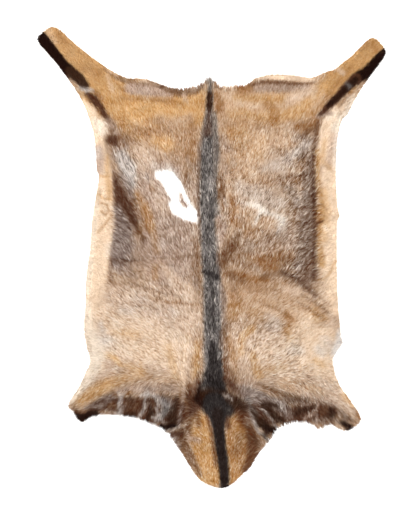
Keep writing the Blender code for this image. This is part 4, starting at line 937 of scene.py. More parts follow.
# Columns: place, length, width, crowd, mottle, gather, share, softness, and the path
HAIR_ZONES = charted(HairZone, 8, (
    ("rump", 6.8, 1.4, 0.85, 0.14, 0.25, 1.0, 24, (110, 100, 14), (210, 105, 24), (310, 98, 14)),
    ("ribs", 8.8, 1.5, 0.84, 0.29, 0.35, 1.0, 30, (160, 200, 36), (210, 230, 50), (262, 215, 36)),
    ("shoulders", 7.6, 1.45, 0.84, 0.23, 0.25, 1.0, 26, (130, 345, 26), (210, 340, 30), (290, 345, 26)),
    ("shoulder, right", 7.6, 1.45, 0.84, 0.36, 0.25, 0.9, 20, (244, 330, 16), (270, 350, 22),
     (296, 372, 16)),
    ("loin, right", 8.5, 1.4, 0.84, 0.28, 0.3, 0.9, 16, (232, 146, 12), (262, 144, 16), (286, 150, 12)),
    ("waist, left", 8.5, 1.4, 0.84, 0.33, 0.3, 0.9, 16, (130, 300, 14), (170, 304, 18)),
    ("ribs, right", 8.8, 1.4, 0.84, 0.36, 0.35, 0.9, 20, (246, 190, 22), (258, 240, 26)),
    ("flank, left", 9.5, 1.6, 0.82, 0.26, 0.35, 1.0, 10, (126, 160, 10), (126, 210, 10), (124, 270, 10)),
    ("flank silver, left", 9.5, 1.4, 0.82, 0.48, 0.5, 1.0, 10, (118, 150, 6), (131, 165, 9), (135, 180, 6)),
    ("flank, right", 9.5, 1.6, 0.82, 0.42, 0.45, 1.0, 14, (296, 155, 18), (300, 210, 16), (298, 270, 16)),
    ("spine", 9.5, 1.5, 0.9, 0.34, 0.45, 1.0, 8, (210, 100, 4), (206, 200, 8), (212, 330, 10),
     (213, 380, 16)),
    ("neck", 5.6, 1.35, 0.92, 0.24, 0.2, 1.0, 10, (212, 420, 26), (216, 460, 30)),
    ("chest, left", 7.5, 1.3, 0.95, 0.3, 0.5, 1.0, 10, (100, 404, 8), (140, 405, 13), (180, 420, 14)),
    ("chest, right", 7.5, 1.3, 0.95, 0.3, 0.5, 1.0, 10, (238, 412, 12), (280, 410, 14), (326, 408, 10)),
    ("foreleg, left", 7, 1.41, 0.8, 0.2, 0.15, 1.0, 8, (78, 405, 8), (96, 382, 12)),
    ("foreleg, right", 7, 1.41, 0.8, 0.24, 0.2, 1.0, 8, (350, 412, 6), (334, 384, 10)),
    ("rump edge, left", 3.5, 1.15, 0.7, 0.05, 0.1, 1.0, 3, (84, 52, 0.8), (110, 71, 1.6), (152, 81, 1.4)),
    ("rump edge, right", 3.5, 1.15, 0.7, 0.05, 0.1, 1.0, 3, (257, 79, 1.2), (285, 78.5, 2.2),
     (314, 80.5, 1.2)),
    ("tail fuzz", 15, 1.15, 0.95, 0.3, 0.4, 1.0, 5, (186, 92, 3), (200, 89, 3.5), (210, 84, 4),
     (222, 89, 3.5), (238, 90, 3)),
    ("hind leg, left", 6, 1.28, 0.75, 0.07, 0.1, 1.0, 10, (44, 36, 12), (76, 60, 14), (100, 82, 12)),
    ("hind leg, right", 6, 1.28, 0.75, 0.07, 0.1, 1.0, 10, (378, 46, 10), (352, 70, 12), (334, 88, 12)),
    ("belly, left", 6, 1.15, 0.7, 0.05, 0.12, 1.0, 6, (84, 98, 4), (97, 128, 9), (103, 175, 11),
     (99, 230, 13), (93, 300, 13)),
    ("belly, right", 6, 1.15, 0.7, 0.08, 0.12, 1.0, 6, (334, 106, 8), (329, 150, 10), (329, 200, 10),
     (331, 275, 11), (336, 310, 6)),
    ("elbow, left", 8, 1.41, 0.75, 0.08, 0.2, 1.0, 8, (92, 320, 7), (98, 350, 8), (90, 370, 5)),
    ("elbow smooth, right", 7, 1.3, 0.78, 0.12, 0.15, 1.0, 14, (312, 336, 10), (316, 356, 12),
     (322, 374, 9)),
    ("elbow smooth, left", 7, 1.3, 0.78, 0.14, 0.15, 1.0, 10, (104, 352, 5), (104, 372, 6)),
    ("elbow, right", 8, 1.41, 0.75, 0.08, 0.2, 1.0, 8, (336, 320, 5), (326, 346, 9), (336, 372, 5)),
))


SHORTEST = 1e-12  # the length by which a shorter vector is divided, so that nothing is divided by zero


def eased(share: np.ndarray) -> np.ndarray:
    """A smooth step from 0 to 1 as the share runs from 0 to 1."""
    held = np.clip(share, 0.0, 1.0)
    return held * held * (3.0 - 2.0 * held)


def unit(vectors: np.ndarray) -> np.ndarray:
    """The vectors, each scaled to length 1."""
    return vectors / np.maximum(np.linalg.norm(vectors, axis=-1, keepdims=True), SHORTEST)


def smoothed(loop: np.ndarray, passes: int) -> np.ndarray:
    """A closed loop smoothed by a number of passes.

    Each pass moves every row halfway to the mean of the rows before and after it.

    Args:
        loop: The loop's rows.
        passes: How often it is smoothed.

    Returns:
        The smoothed rows.
    """
    for _ in range(passes):
        loop = 0.5 * loop + 0.25 * (np.roll(loop, 1, axis=0) + np.roll(loop, -1, axis=0))
    return loop


def beside(points: np.ndarray, start: np.ndarray, end: np.ndarray) -> tuple[np.ndarray, np.ndarray]:
    """Where points lie beside a straight stretch.

    Each point is dropped square onto the stretch, and held at its ends.

    Args:
        points: Plan points, one row each.
        start: Where the stretch starts.
        end: Where it ends.

    Returns:
        How far along the stretch each point drops, from 0 to 1, and how far it is from there.
    """
    step = end - start
    along = np.clip((points - start) @ step / (step @ step), 0.0, 1.0)
    return along, np.linalg.norm(points - start - along[:, None] * step, axis=1)


def turned(lie: np.ndarray, angle: np.ndarray) -> np.ndarray:
    """Plan directions turned counter-clockwise by an angle each, in radians."""
    cos, sin = np.cos(angle), np.sin(angle)
    return np.column_stack([lie[:, 0] * cos - lie[:, 1] * sin, lie[:, 0] * sin + lie[:, 1] * cos])


def linear_light(display: np.ndarray) -> np.ndarray:
    """Display values from 0 to 255 as linear light, by the sRGB curve."""
    value = np.maximum(np.asarray(display, float), 0.0) / 255.0
    return np.where(value <= 0.04045, value / 12.92, ((value + 0.055) / 1.055) ** 2.4)


def photo_pixels(points: np.ndarray) -> np.ndarray:
    """Plan points in the photograph's frame, which has y downwards.

    Args:
        points: Plan points in metres, one row each.

    Returns:
        Their x and y in pixels, one row each.
    """
    x = (points[:, 0] - OUTLINE_SHIFT[0]) / PHOTO_PIXEL + PHOTO_MIDDLE[0]
    y = PHOTO_MIDDLE[1] - (points[:, 1] - OUTLINE_SHIFT[1]) / PHOTO_PIXEL
    return np.column_stack([x, y])


def band_share(pixels: np.ndarray, band: Marking | HairZone) -> np.ndarray:
    """How much a marking or zone covers each place.

    The share is whole inside the path's half width and falls by a smooth step over the soft
    edge, half of which lies on each side of that width.

    Args:
        pixels: Places in photograph pixels, one row each.
        band: The marking or zone, with its path and softness.

    Returns:
        The share at each place, from 0 to the band's own share.
    """
    rows = np.array(band.path, float)
    reach = rows[:, 2].max() + 0.5 * band.soft
    low, high = rows[:, :2].min(axis=0) - reach, rows[:, :2].max(axis=0) + reach
    near = np.all((pixels > low) & (pixels < high), axis=1)
    close = pixels[near]
    beyond = np.full(len(close), np.inf)
    for start, end in zip(rows[:-1], rows[1:]):
        along, away = beside(close, start[:2], end[:2])
        beyond = np.minimum(beyond, away - (start[2] + along * (end[2] - start[2])))
    share = np.zeros(len(pixels))
    share[near] = band.share * eased(0.5 - beyond / band.soft)
    return share


def coat_colour(points: np.ndarray) -> np.ndarray:
    """The coat's colour at plan points: each marking of the chart laid over those before it.

    Args:
        points: Plan points in metres, one row each.

    Returns:
        Display red, green and blue from 0 to 255, one row for each point.
    """
    pixels = photo_pixels(points)
    colour = np.tile(np.array(GROUND.value, float), (len(points), 1))
    for marking in MARKINGS:
        share = band_share(pixels, marking)[:, None]
        colour += share * (np.array(marking.tone.value, float) - colour)
    grey = colour.mean(axis=1, keepdims=True)
    return grey + VIVID * (colour - grey)


def glow(display: np.ndarray) -> np.ndarray:
    """How far each colour is on its way from the palest hair to pure white, from 0 to 1."""
    return np.clip((display.mean(axis=1) - GLOW_START) / GLOW_SPAN, 0.0, 1.0)


def hair_habit(points: np.ndarray) -> np.ndarray:
    """How the hair grows at each point: each zone laid over those before it.

    Args:
        points: Plan points in metres, one row each.

    Returns:
        Length and width in metres, crowding, mottle and gather, as columns.
    """
    pixels = photo_pixels(points)
    zones = [BODY_HAIR, *HAIR_ZONES]
    habits = [(z.length * MM, z.width * MM, z.crowd, z.mottle, z.gather) for z in zones]
    habit = np.tile(np.array(habits[0]), (len(points), 1))
    for zone, values in zip(HAIR_ZONES, habits[1:]):
        habit += band_share(pixels, zone)[:, None] * (np.array(values) - habit)
    return habit


@dataclass(frozen=True)
class PlanMap:
    """Values on a square grid over the plan, read between its points from the nearest four."""

    low: np.ndarray
    pitch: float
    values: np.ndarray

    def at(self, points: np.ndarray) -> np.ndarray:
        """The values at plan points, blended by how near each of the four grid points is.

        Args:
            points: Plan points in metres, one row each.

        Returns:
            The values there, one row for each point.
        """
        place = (points - self.low) / self.pitch
        rows, columns = self.values.shape[:2]
        column = np.clip(np.floor(place[:, 0]).astype(int), 0, columns - 2)
        row = np.clip(np.floor(place[:, 1]).astype(int), 0, rows - 2)
        right = np.clip(place[:, 0] - column, 0.0, 1.0)[:, None]
        up = np.clip(place[:, 1] - row, 0.0, 1.0)[:, None]
        values = self.values
        lower = values[row, column] * (1 - right) + values[row, column + 1] * right
        upper = values[row + 1, column] * (1 - right) + values[row + 1, column + 1] * right
        return lower * (1 - up) + upper * up


class HidePlan:
    """The hide seen from above: its edge, how the hair lies on it and how high its coat stands."""

    RIM_STEPS = 6  # steps of the curve between two rows of RIM
    MAP_PITCH = 3.0 * MM
    MAP_MARGIN = 18 * MM
    RELIEF_START = 0.3  # the share of the relief that is there at the rim
    RELIEF_FULL = 8.5 * MM  # how far in from the rim it is whole
    EDGE_SHARE = 0.45  # the share of the coat's height that is there at the very edge
    EDGE_FULL = 9 * MM
    SHORT_LOCK = 4.5 * MM  # a lock this long stands on the skin's edge, and a longer one hides it
    EDGE_TONE = 3.2 * MM  # how deep the coat's colour is read for what lies closer to the edge
    WAY_PASSES = 4  # how often the way along the edge is smoothed before the edge is moved square to it
    LOOP_PASSES = 1  # how often a loop is smoothed, and how much more for each mm of inset
    INSET_PASSES = 2
    LUMP_COUNT = 420
    LUMP_LENGTH = (36 * MM, 62 * MM)
    LUMP_WIDTH = (13 * MM, 20 * MM)
    LUMP_HEIGHT = (1.2 * MM, 2.8 * MM)
    LUMP_TURN = 0.22
    LUMP_CREST = 0.70

    def __init__(self) -> None:
        """Works out the edge and the map of depth, lock length, underside and coat height."""
        self.edge = self.rim_curve()
        self.low = np.array(CAD_BOX[0][:2]) - self.MAP_MARGIN
        high = np.array(CAD_BOX[1][:2]) + self.MAP_MARGIN
        x = np.arange(self.low[0], high[0] + self.MAP_PITCH, self.MAP_PITCH)
        y = np.arange(self.low[1], high[1] + self.MAP_PITCH, self.MAP_PITCH)
        points = np.stack(np.meshgrid(x, y), axis=2).reshape(-1, 2)
        depth, lock = self.to_edge(points)
        underside = self.underside(points, depth)
        coat = self.coat_height(points, depth)
        table = np.column_stack([depth, lock, underside, coat])
        self.map = PlanMap(self.low, self.MAP_PITCH, table.reshape(len(y), len(x), 4))

    def rim_curve(self) -> np.ndarray:
        """The edge as a closed smooth curve through the rows of RIM.

        Between two rows each column is the cubic that passes through both of them, with the
        slopes that the rows on either side give.

        Returns:
            Rows of x, y and the locks' length in metres, counter-clockwise.
        """
        rows = np.array([row for stretch in RIM.values() for row in stretch]) * MM
        rows[:, :2] += OUTLINE_SHIFT
        before = np.roll(rows, 1, axis=0)
        after = np.roll(rows, -1, axis=0)
        beyond = np.roll(rows, -2, axis=0)
        t = (np.arange(self.RIM_STEPS) / self.RIM_STEPS)[:, None, None]
        curve = rows + 0.5 * (
            (after - before) * t
            + (2 * before - 5 * rows + 4 * after - beyond) * t**2
            + (3 * rows - before - 3 * after + beyond) * t**3
        )
        return curve.transpose(1, 0, 2).reshape(-1, 3)

    def to_edge(self, points: np.ndarray) -> tuple[np.ndarray, np.ndarray]:
        """Sets points against the edge, by the nearest stretch and by counting crossings.

        Args:
            points: Plan points in metres, one row each.

        Returns:
            How deep inside the edge each point lies, below zero outside it, and the locks' length
            at the edge there.
        """
        nearest = np.full(len(points), np.inf)
        lock = np.zeros(len(points))
        crossings = np.zeros(len(points), int)
        for start, end in zip(self.edge, np.roll(self.edge, -1, axis=0)):
            share, away = beside(points, start[:2], end[:2])
            closer = away < nearest
            nearest[closer] = away[closer]
            lock[closer] = start[2] + share[closer] * (end[2] - start[2])
            spans = (start[1] > points[:, 1]) != (end[1] > points[:, 1])
            run, rise = end[:2] - start[:2]
            rise = rise if rise != 0 else 1.0
            crossings += spans & (points[:, 0] < start[0] + (points[:, 1] - start[1]) * run / rise)
        return np.where(crossings % 2 == 1, nearest, -nearest), lock

    def lie(self, points: np.ndarray) -> np.ndarray:
        """Which way the hair lies, blended from the guides by how near they are.

        Args:
            points: Plan points in metres, one row each.

        Returns:
            A unit plan vector for each point.
        """
        places = np.array([(guide.x, guide.y) for guide in HAIR_GUIDES]) * MM + OUTLINE_SHIFT
        headings = np.radians([guide.heading for guide in HAIR_GUIDES])
        away = points[:, None, :] - places[None, :, :]
        weight = (np.sum(away**2, axis=2) + GUIDE_SOFTNESS**2) ** -GUIDE_FALLOFF
        return unit(weight @ np.column_stack([np.cos(headings), np.sin(headings)]))

    def underside(self, points: np.ndarray, depth: np.ndarray) -> np.ndarray:
        """How far the underside stands off the floor: a bell round each lift, fading away from the rim.

        Args:
            points: Plan points in metres, one row each.
            depth: How deep inside the edge each lies.

        Returns:
            The underside's height at each point.
        """
        height = np.zeros(len(points))
        for lift in LIFTS:
            place = np.array([lift.x, lift.y]) * MM + OUTLINE_SHIFT
            away = np.linalg.norm(points - place, axis=1)
            height += lift.height * MM * np.exp(-((away / (lift.reach * MM)) ** 2))
        return height * eased(1.0 - np.maximum(depth, 0.0) / LIFT_ZONE)

    def fold_relief(self, points: np.ndarray) -> np.ndarray:
        """The ridges and creases, each a soft bell across its path.

        Args:
            points: Plan points in metres, one row each.

        Returns:
            What they add to the coat's height.
        """
        relief = np.zeros(len(points))
        for fold in FOLDS:
            path = np.array(fold.path) * MM + OUTLINE_SHIFT
            away = np.full(len(points), np.inf)
            for start, end in zip(path[:-1], path[1:]):
                away = np.minimum(away, beside(points, start, end)[1])
            relief += fold.height * MM * np.exp(-((away / (fold.half_width * MM)) ** 2))
        return relief

    def lump_relief(self, points: np.ndarray) -> np.ndarray:
        """Overlapping locks of the coat: each rises slowly along the hair and drops at its tip.

        Args:
            points: Plan points in metres, one row each.

        Returns:
            What the highest lock at each point adds to the coat's height.
        """
        chance = np.random.default_rng(SEED)
        count = self.LUMP_COUNT
        low, high = (np.array(corner[:2]) for corner in CAD_BOX)
        places = chance.uniform(low, high, (count, 2))
        turn = chance.normal(0.0, self.LUMP_TURN, count)
        length = chance.uniform(*self.LUMP_LENGTH, count)
        width = chance.uniform(*self.LUMP_WIDTH, count)
        height = chance.uniform(*self.LUMP_HEIGHT, count)
        forward = turned(self.lie(places), turn)
        relief = np.zeros(len(points))
        for place, way, reach, wide, high_point in zip(places, forward, length, width, height):
            away = points - place
            along = away @ way / reach + 0.5
            across = (away[:, 0] * way[1] - away[:, 1] * way[0]) / wide
            climb = eased(along / self.LUMP_CREST) * eased((1.0 - along) / (1.0 - self.LUMP_CREST))
            relief = np.maximum(relief, high_point * climb * np.exp(-(across**2)))
        return relief

    def coat_height(self, points: np.ndarray, depth: np.ndarray) -> np.ndarray:
        """The height of leather and coat together above the underside.

        The coat rises by a smooth step from the edge to the back, and the relief and the whole
        coat each fade towards the rim.

        Args:
            points: Plan points in metres, one row each.
            depth: How deep inside the edge each lies.

        Returns:
            The height at each point.
        """
        inside = np.maximum(depth, 0.0)
        crown = eased(inside / COAT_SHOULDER)
        coat = COAT_EDGE + (COAT_BACK - COAT_EDGE) * crown
        relief = self.fold_relief(points) + self.lump_relief(points)
        shown = eased(self.RELIEF_START + (1.0 - self.RELIEF_START) * inside / self.RELIEF_FULL)
        edge = self.EDGE_SHARE + (1.0 - self.EDGE_SHARE) * eased(inside / self.EDGE_FULL)
        return np.maximum(LEATHER + (coat + relief * shown) * edge, THINNEST)

    def depth(self, points: np.ndarray) -> np.ndarray:
        """How deep inside the edge each point lies, from the map."""
        return self.map.at(points)[:, 0]

    def within(self, points: np.ndarray) -> np.ndarray:
        """The points, with those close to the edge or past it moved straight inwards."""
        short = np.maximum(self.EDGE_TONE - self.depth(points), 0.0)
        return points - self.outward(points) * short[:, None]

    def outward(self, points: np.ndarray) -> np.ndarray:
        """Which way the nearest edge is, from the slope of the depth.

        Args:
            points: Plan points in metres, one row each.

        Returns:
            A unit plan vector for each point.
        """
        steps = [np.array([self.MAP_PITCH, 0.0]), np.array([0.0, self.MAP_PITCH])]
        falls = [self.depth(points - step) - self.depth(points + step) for step in steps]
        return unit(np.column_stack(falls))

    def loop(self, inset: float, lock_share: float) -> np.ndarray:
        """The edge moved inwards and smoothed.

        Args:
            inset: How far it moves everywhere, in metres.
            lock_share: How far it moves besides, as a share of what the locks are longer than short.

        Returns:
            The loop's plan points.
        """
        ahead = np.roll(self.edge[:, :2], -1, axis=0) - np.roll(self.edge[:, :2], 1, axis=0)
        ahead = unit(smoothed(ahead, self.WAY_PASSES))
        inward = np.column_stack([-ahead[:, 1], ahead[:, 0]])
        hidden = lock_share * np.maximum(self.edge[:, 2] - self.SHORT_LOCK, 0.0)
        loop = self.edge[:, :2] + inward * (inset + hidden)[:, None]
        return smoothed(loop, self.LOOP_PASSES + round(self.INSET_PASSES * inset / MM))

    def lattice(self, pitch: float, clearance: float) -> np.ndarray:
        """Points in staggered rows inside the edge.

        Args:
            pitch: The distance between points.
            clearance: How deep inside the edge they have to lie.

        Returns:
            The plan points.
        """
        low, high = (np.array(corner[:2]) for corner in CAD_BOX)
        rows = np.arange(low[1], high[1], pitch * np.sqrt(3.0) / 2.0)
        columns = np.arange(low[0], high[0], pitch)
        x = columns[None, :] + (np.arange(len(rows)) % 2)[:, None] * pitch / 2
        y = np.broadcast_to(rows[:, None], x.shape)
        points = np.column_stack([x.ravel(), y.ravel()])
        return points[self.depth(points) > clearance]


@dataclass(frozen=True)
class Shape:
    """A mesh as arrays: places, and triangles as rows of three indices."""

    places: np.ndarray
    triangles: np.ndarray

    def mesh(self, name: str) -> bpy.types.Mesh:
        """The shape as a Blender mesh.

        Args:
            name: The mesh's name.

        Returns:
            The mesh.
        """
        mesh = bpy.data.meshes.new(name)
        count = len(self.triangles)
        mesh.vertices.add(len(self.places))
        mesh.vertices.foreach_set("co", np.ascontiguousarray(self.places, np.float32).ravel())
        mesh.loops.add(3 * count)
        mesh.loops.foreach_set("vertex_index", np.ascontiguousarray(self.triangles, np.int32).ravel())
        mesh.polygons.add(count)
        mesh.polygons.foreach_set("loop_start", np.arange(0, 3 * count, 3, dtype=np.int32))
        mesh.update(calc_edges=True)
        return mesh


def piece_from(mesh: bpy.types.Mesh, body: str) -> bpy.types.Object:
    """An object for a mesh.

    Args:
        mesh: The mesh, which names it.
        body: The body that it rides on.

    Returns:
        The object, in the scene.
    """
    piece = bpy.data.objects.new(mesh.name, mesh)
    bpy.context.scene.collection.objects.link(piece)
    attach(piece, body)
    return piece


def paint(mesh: bpy.types.Mesh, name: str, display: np.ndarray) -> None:
    """Stores the colour of each vertex, in linear light and as bright as the studio leaves room for.

    Args:
        mesh: The mesh to paint.
        name: The attribute that holds the paint.
        display: Display colours, one row for each vertex.
    """
    colours = np.ones((len(display), 4), np.float32)
    colours[:, :3] = np.clip(linear_light(display) * PAINT_GAIN - PAINT_VEIL, PAINT_LEAST, PAINT_LIMIT)
    layer = mesh.color_attributes.new(name, "FLOAT_COLOR", "POINT")
    layer.data.foreach_set("color", colours.ravel())


CAP_INSIDE = 1  # the kind of filling that keeps to the inside of its loop
CAP_NEAR = 1e-7  # and how close two of its points may come, in metres


def cap(loop: np.ndarray, inner: np.ndarray) -> np.ndarray:
    """Fills a loop with triangles through inner points.

    Args:
        loop: The loop's plan points, counter-clockwise.
        inner: Plan points inside it.

    Returns:
        Rows of three indices into the loop's points and then the inner ones, counter-clockwise
        seen from above.
    """
    flat = [Vector(point) for point in np.vstack([loop, inner])]
    out, _, faces, originals, _, _ = delaunay_2d_cdt(flat, [], [list(range(len(loop)))], CAP_INSIDE, CAP_NEAR)
    if len(out) != len(flat):
        raise ValueError("a loop of the hide crosses itself")
    index = [original[0] for original in originals]
    triangles = np.array([[index[corner] for corner in face] for face in faces])
    plan = np.vstack([loop, inner])
    a, b, c = (plan[triangles[:, corner]] for corner in range(3))
    turn = (b[:, 0] - a[:, 0]) * (c[:, 1] - a[:, 1]) - (b[:, 1] - a[:, 1]) * (c[:, 0] - a[:, 0])
    triangles[turn < 0] = triangles[turn < 0][:, ::-1]
    return triangles


@dataclass(frozen=True)
class SlabRing:
    """One ring of a slab's rounded rim: its inset in metres and its share of the slab's height."""

    inset: float
    height: float


SLAB_GAP = 4 * MM  # how far a slab's inner points stay from its rim, besides half their pitch


def slab(
    plan: HidePlan,
    rings: tuple,
    lock_share: float,
    pitch: float,
    low: Callable[[np.ndarray], np.ndarray],
    high: Callable[[np.ndarray], np.ndarray],
) -> Shape:
    """A closed slab over the hide's plan, with a rounded rim.

    The rings climb the rim from the lower side to the upper one. A point of a ring stands at the
    low surface plus the ring's share of the way to the high one, and both sides are filled with
    triangles through the same staggered points.

    Args:
        plan: The hide's plan.
        rings: The rim's rings, from the lower side to the upper one.
        lock_share: How far the rim stands further in, as a share of what the locks are longer than short.
        pitch: The distance between inner points, in metres.
        low: The height of the lower side at plan points.
        high: The height of the upper side at plan points.

    Returns:
        The slab, its faces outwards.
    """
    loops = [plan.loop(ring.inset, lock_share) for ring in rings]
    inner = plan.lattice(pitch, max(ring.inset for ring in rings) + 0.5 * pitch + SLAB_GAP)
    count = len(loops[0])
    places = []
    for ring, loop in zip(rings, loops):
        bottom, top = low(loop), high(loop)
        places.append(np.column_stack([loop, bottom + ring.height * (top - bottom)]))
    places.append(np.column_stack([inner, low(inner)]))
    places.append(np.column_stack([inner, high(inner)]))
    first_inner = count * len(rings)
    lower = cap(loops[0], inner)[:, ::-1]
    lower = np.where(lower < count, lower, lower - count + first_inner)
    upper = cap(loops[-1], inner)
    last_ring = count * (len(rings) - 1)
    upper = np.where(upper < count, upper + last_ring, upper - count + first_inner + len(inner))
    here = np.arange(count)
    after = np.roll(here, -1)
    walls = []
    for step in range(len(rings) - 1):
        base, above = step * count, (step + 1) * count
        walls.append(np.column_stack([here + base, after + base, after + above]))
        walls.append(np.column_stack([here + base, after + above, here + above]))
    return Shape(np.vstack(places), np.vstack([lower, upper, *walls]))


class Wiring:
    """Lays nodes into a material or a node group and joins them."""

    def __init__(self, tree: bpy.types.NodeTree) -> None:
        """Works on one node tree."""
        self.tree = tree

    def node(self, kind: str, **settings: object) -> bpy.types.Node:
        """Adds a node.

        Args:
            kind: The node's type.
            settings: Its settings. Names with a capital are inputs, the others its own choices.

        Returns:
            The node.
        """
        made = self.tree.nodes.new(kind)
        for name, value in settings.items():
            label = name.replace("_", " ")
            if name[0].isupper():
                made.inputs[label].default_value = value
            else:
                setattr(made, name, value)
        return made

    def join(self, start: bpy.types.NodeSocket, end: bpy.types.NodeSocket) -> None:
        """Joins an output to an input."""
        self.tree.links.new(start, end)


def fibre_group() -> bpy.types.NodeTree:
    """Fine unevenness of hair and leather: mottles a colour and gives a height for bump.

    Two noises in object space, a fine one and a broad one, lighten and darken the colour by the
    Amount, and the fine one is the Height.

    Returns:
        The node group, with inputs Colour, Scale, Amount and outputs Colour, Height.
    """
    tree = bpy.data.node_groups.new("fibre mottle", "ShaderNodeTree")
    face = tree.interface
    face.new_socket("Colour", in_out="INPUT", socket_type="NodeSocketColor")
    face.new_socket("Scale", in_out="INPUT", socket_type="NodeSocketFloat")
    face.new_socket("Amount", in_out="INPUT", socket_type="NodeSocketFloat")
    face.new_socket("Colour", in_out="OUTPUT", socket_type="NodeSocketColor")
    face.new_socket("Height", in_out="OUTPUT", socket_type="NodeSocketFloat")
    wiring = Wiring(tree)
    given = wiring.node("NodeGroupInput")
    put_out = wiring.node("NodeGroupOutput")
    place = wiring.node("ShaderNodeTexCoord")
    fine = wiring.node("ShaderNodeTexNoise", Detail=5.0, Roughness=0.62)
    broad = wiring.node("ShaderNodeTexNoise", Scale=34.0, Detail=3.0, Roughness=0.55)
    for noise in (fine, broad):
        wiring.join(place.outputs["Object"], noise.inputs["Vector"])
    wiring.join(given.outputs["Scale"], fine.inputs["Scale"])
    blend = wiring.node("ShaderNodeMath", operation="ADD")
    wiring.join(fine.outputs["Fac"], blend.inputs[0])
    wiring.join(broad.outputs["Fac"], blend.inputs[1])
    centred = wiring.node("ShaderNodeMath", operation="SUBTRACT")
    centred.inputs[1].default_value = 1.0
    wiring.join(blend.outputs[0], centred.inputs[0])
    scaled = wiring.node("ShaderNodeMath", operation="MULTIPLY")
    wiring.join(centred.outputs[0], scaled.inputs[0])
    wiring.join(given.outputs["Amount"], scaled.inputs[1])
    gain = wiring.node("ShaderNodeMath", operation="ADD")
    gain.inputs[1].default_value = 1.0
    wiring.join(scaled.outputs[0], gain.inputs[0])
    tint = wiring.node("ShaderNodeVectorMath", operation="SCALE")
    wiring.join(given.outputs["Colour"], tint.inputs[0])
    wiring.join(gain.outputs[0], tint.inputs["Scale"])
    wiring.join(tint.outputs[0], put_out.inputs["Colour"])
    wiring.join(fine.outputs["Fac"], put_out.inputs["Height"])
    return tree


COAT_PAINT = "coat_paint"  # the attribute that holds the paint
HAIR_MAP = "OFBake"  # the UV map that gives each strand its own cell


class Sheen(Enum):
    """How much hair or leather shines: roughness and specular level."""

    HAIR = (0.55, 0.03)
    UNDERCOAT = (0.85, 0.02)
    GRAIN = (0.80, 0.08)
    SUEDE = (0.95, 0.12)


@dataclass(frozen=True)
class Finish:
    """A finish of hair or leather: the coat's own paint, or one tone, mottled by the fibre group."""

    name: str
    sheen: Sheen
    scale: float  # of the fine mottle
    amount: float  # how much the mottle shows
    bump: float
    bump_depth: float = 1.0 * MM
    tone: tuple | None = None  # a display colour, where the mesh has no paint

    def material(self, fibre: bpy.types.NodeTree) -> bpy.types.Material:
        """The finish as a material.

        Args:
            fibre: The node group that mottles the colour and gives the bump its height.

        Returns:
            The material.
        """
        material = bpy.data.materials.new(self.name)
        material.use_nodes = True
        wiring = Wiring(material.node_tree)
        shader = material.node_tree.nodes["Principled BSDF"]
        roughness, specular = self.sheen.value
        shader.inputs["Roughness"].default_value = roughness
        shader.inputs["Specular IOR Level"].default_value = specular
        group = wiring.node("ShaderNodeGroup", node_tree=fibre)
        group.inputs["Scale"].default_value = self.scale
        group.inputs["Amount"].default_value = self.amount
        if self.tone is None:
            painted = wiring.node("ShaderNodeAttribute", attribute_type="GEOMETRY", attribute_name=COAT_PAINT)
            wiring.join(painted.outputs["Color"], group.inputs["Colour"])
        else:
            group.inputs["Colour"].default_value = (*linear_light(self.tone), 1.0)
        wiring.join(group.outputs["Colour"], shader.inputs["Base Color"])
        if self.bump > 0:
            bump = wiring.node("ShaderNodeBump", Strength=self.bump, Distance=self.bump_depth)
            wiring.join(group.outputs["Height"], bump.inputs["Height"])
            wiring.join(bump.outputs["Normal"], shader.inputs["Normal"])
        return material


@dataclass
class Skin:
    """The leather: one thin sheet with a rounded cut edge, suede underneath.

    Its upper side stands the leather's thickness above the underside everywhere.
    """

    plan: HidePlan
    pitch: float = 9 * MM
    lock_share: float = 0.6
    flat_area: float = 0.36  # square metres

    RINGS = (
        SlabRing(1.3 * MM, 0.0),
        SlabRing(0.45 * MM, 0.12),
        SlabRing(0.0, 0.5),
        SlabRing(0.45 * MM, 0.88),
        SlabRing(1.3 * MM, 1.0),
    )
    GRAIN = Finish("skin_grain_side", Sheen.GRAIN, 620.0, 0.35, 0.35)
    GRAIN_TONE = (226, 200, 170)
    COAT_SHARE = 0.95  # how much of the coat's colour the grain side takes, which shows along the rim
    SUEDE = Finish("skin_suede_side", Sheen.SUEDE, 900.0, 0.55, 0.8, 0.6 * MM, (192, 172, 146))
    DOWNWARD = -0.5  # a face whose normal rises less than this is suede

    def build(self) -> bpy.types.Object:
        """The sheet of leather, painted under the coat.

        Returns:
            The piece.
        """
        shape = slab(
            self.plan, self.RINGS, self.lock_share, self.pitch,
            lambda points: self.plan.map.at(points)[:, 2],
            lambda points: self.plan.map.at(points)[:, 2] + LEATHER,
        )
        mesh = shape.mesh("skin")
        mesh.shade_smooth()
        tone = np.array(self.GRAIN_TONE, float)
        coat = coat_colour(self.plan.within(shape.places[:, :2]))
        paint(mesh, COAT_PAINT, tone + self.COAT_SHARE * (coat - tone))
        return piece_from(mesh, "root")

    def dress(self, skin: bpy.types.Object, fibre: bpy.types.NodeTree) -> None:
        """Gives the upper side grain and the underside suede.

        Args:
            skin: The sheet of leather.
            fibre: The mottling node group.
        """
        mesh = skin.data
        mesh.materials.append(self.GRAIN.material(fibre))
        mesh.materials.append(self.SUEDE.material(fibre))
        normals = np.zeros(3 * len(mesh.polygons), np.float32)
        mesh.polygons.foreach_get("normal", normals)
        downwards = (normals.reshape(-1, 3)[:, 2] < self.DOWNWARD).astype(np.int32)
        mesh.polygons.foreach_set("material_index", downwards)

    def declare(self) -> None:
        """Hides the imported hide, which the skin, the undercoat and the hair stand in for.
        """
        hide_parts("hide")


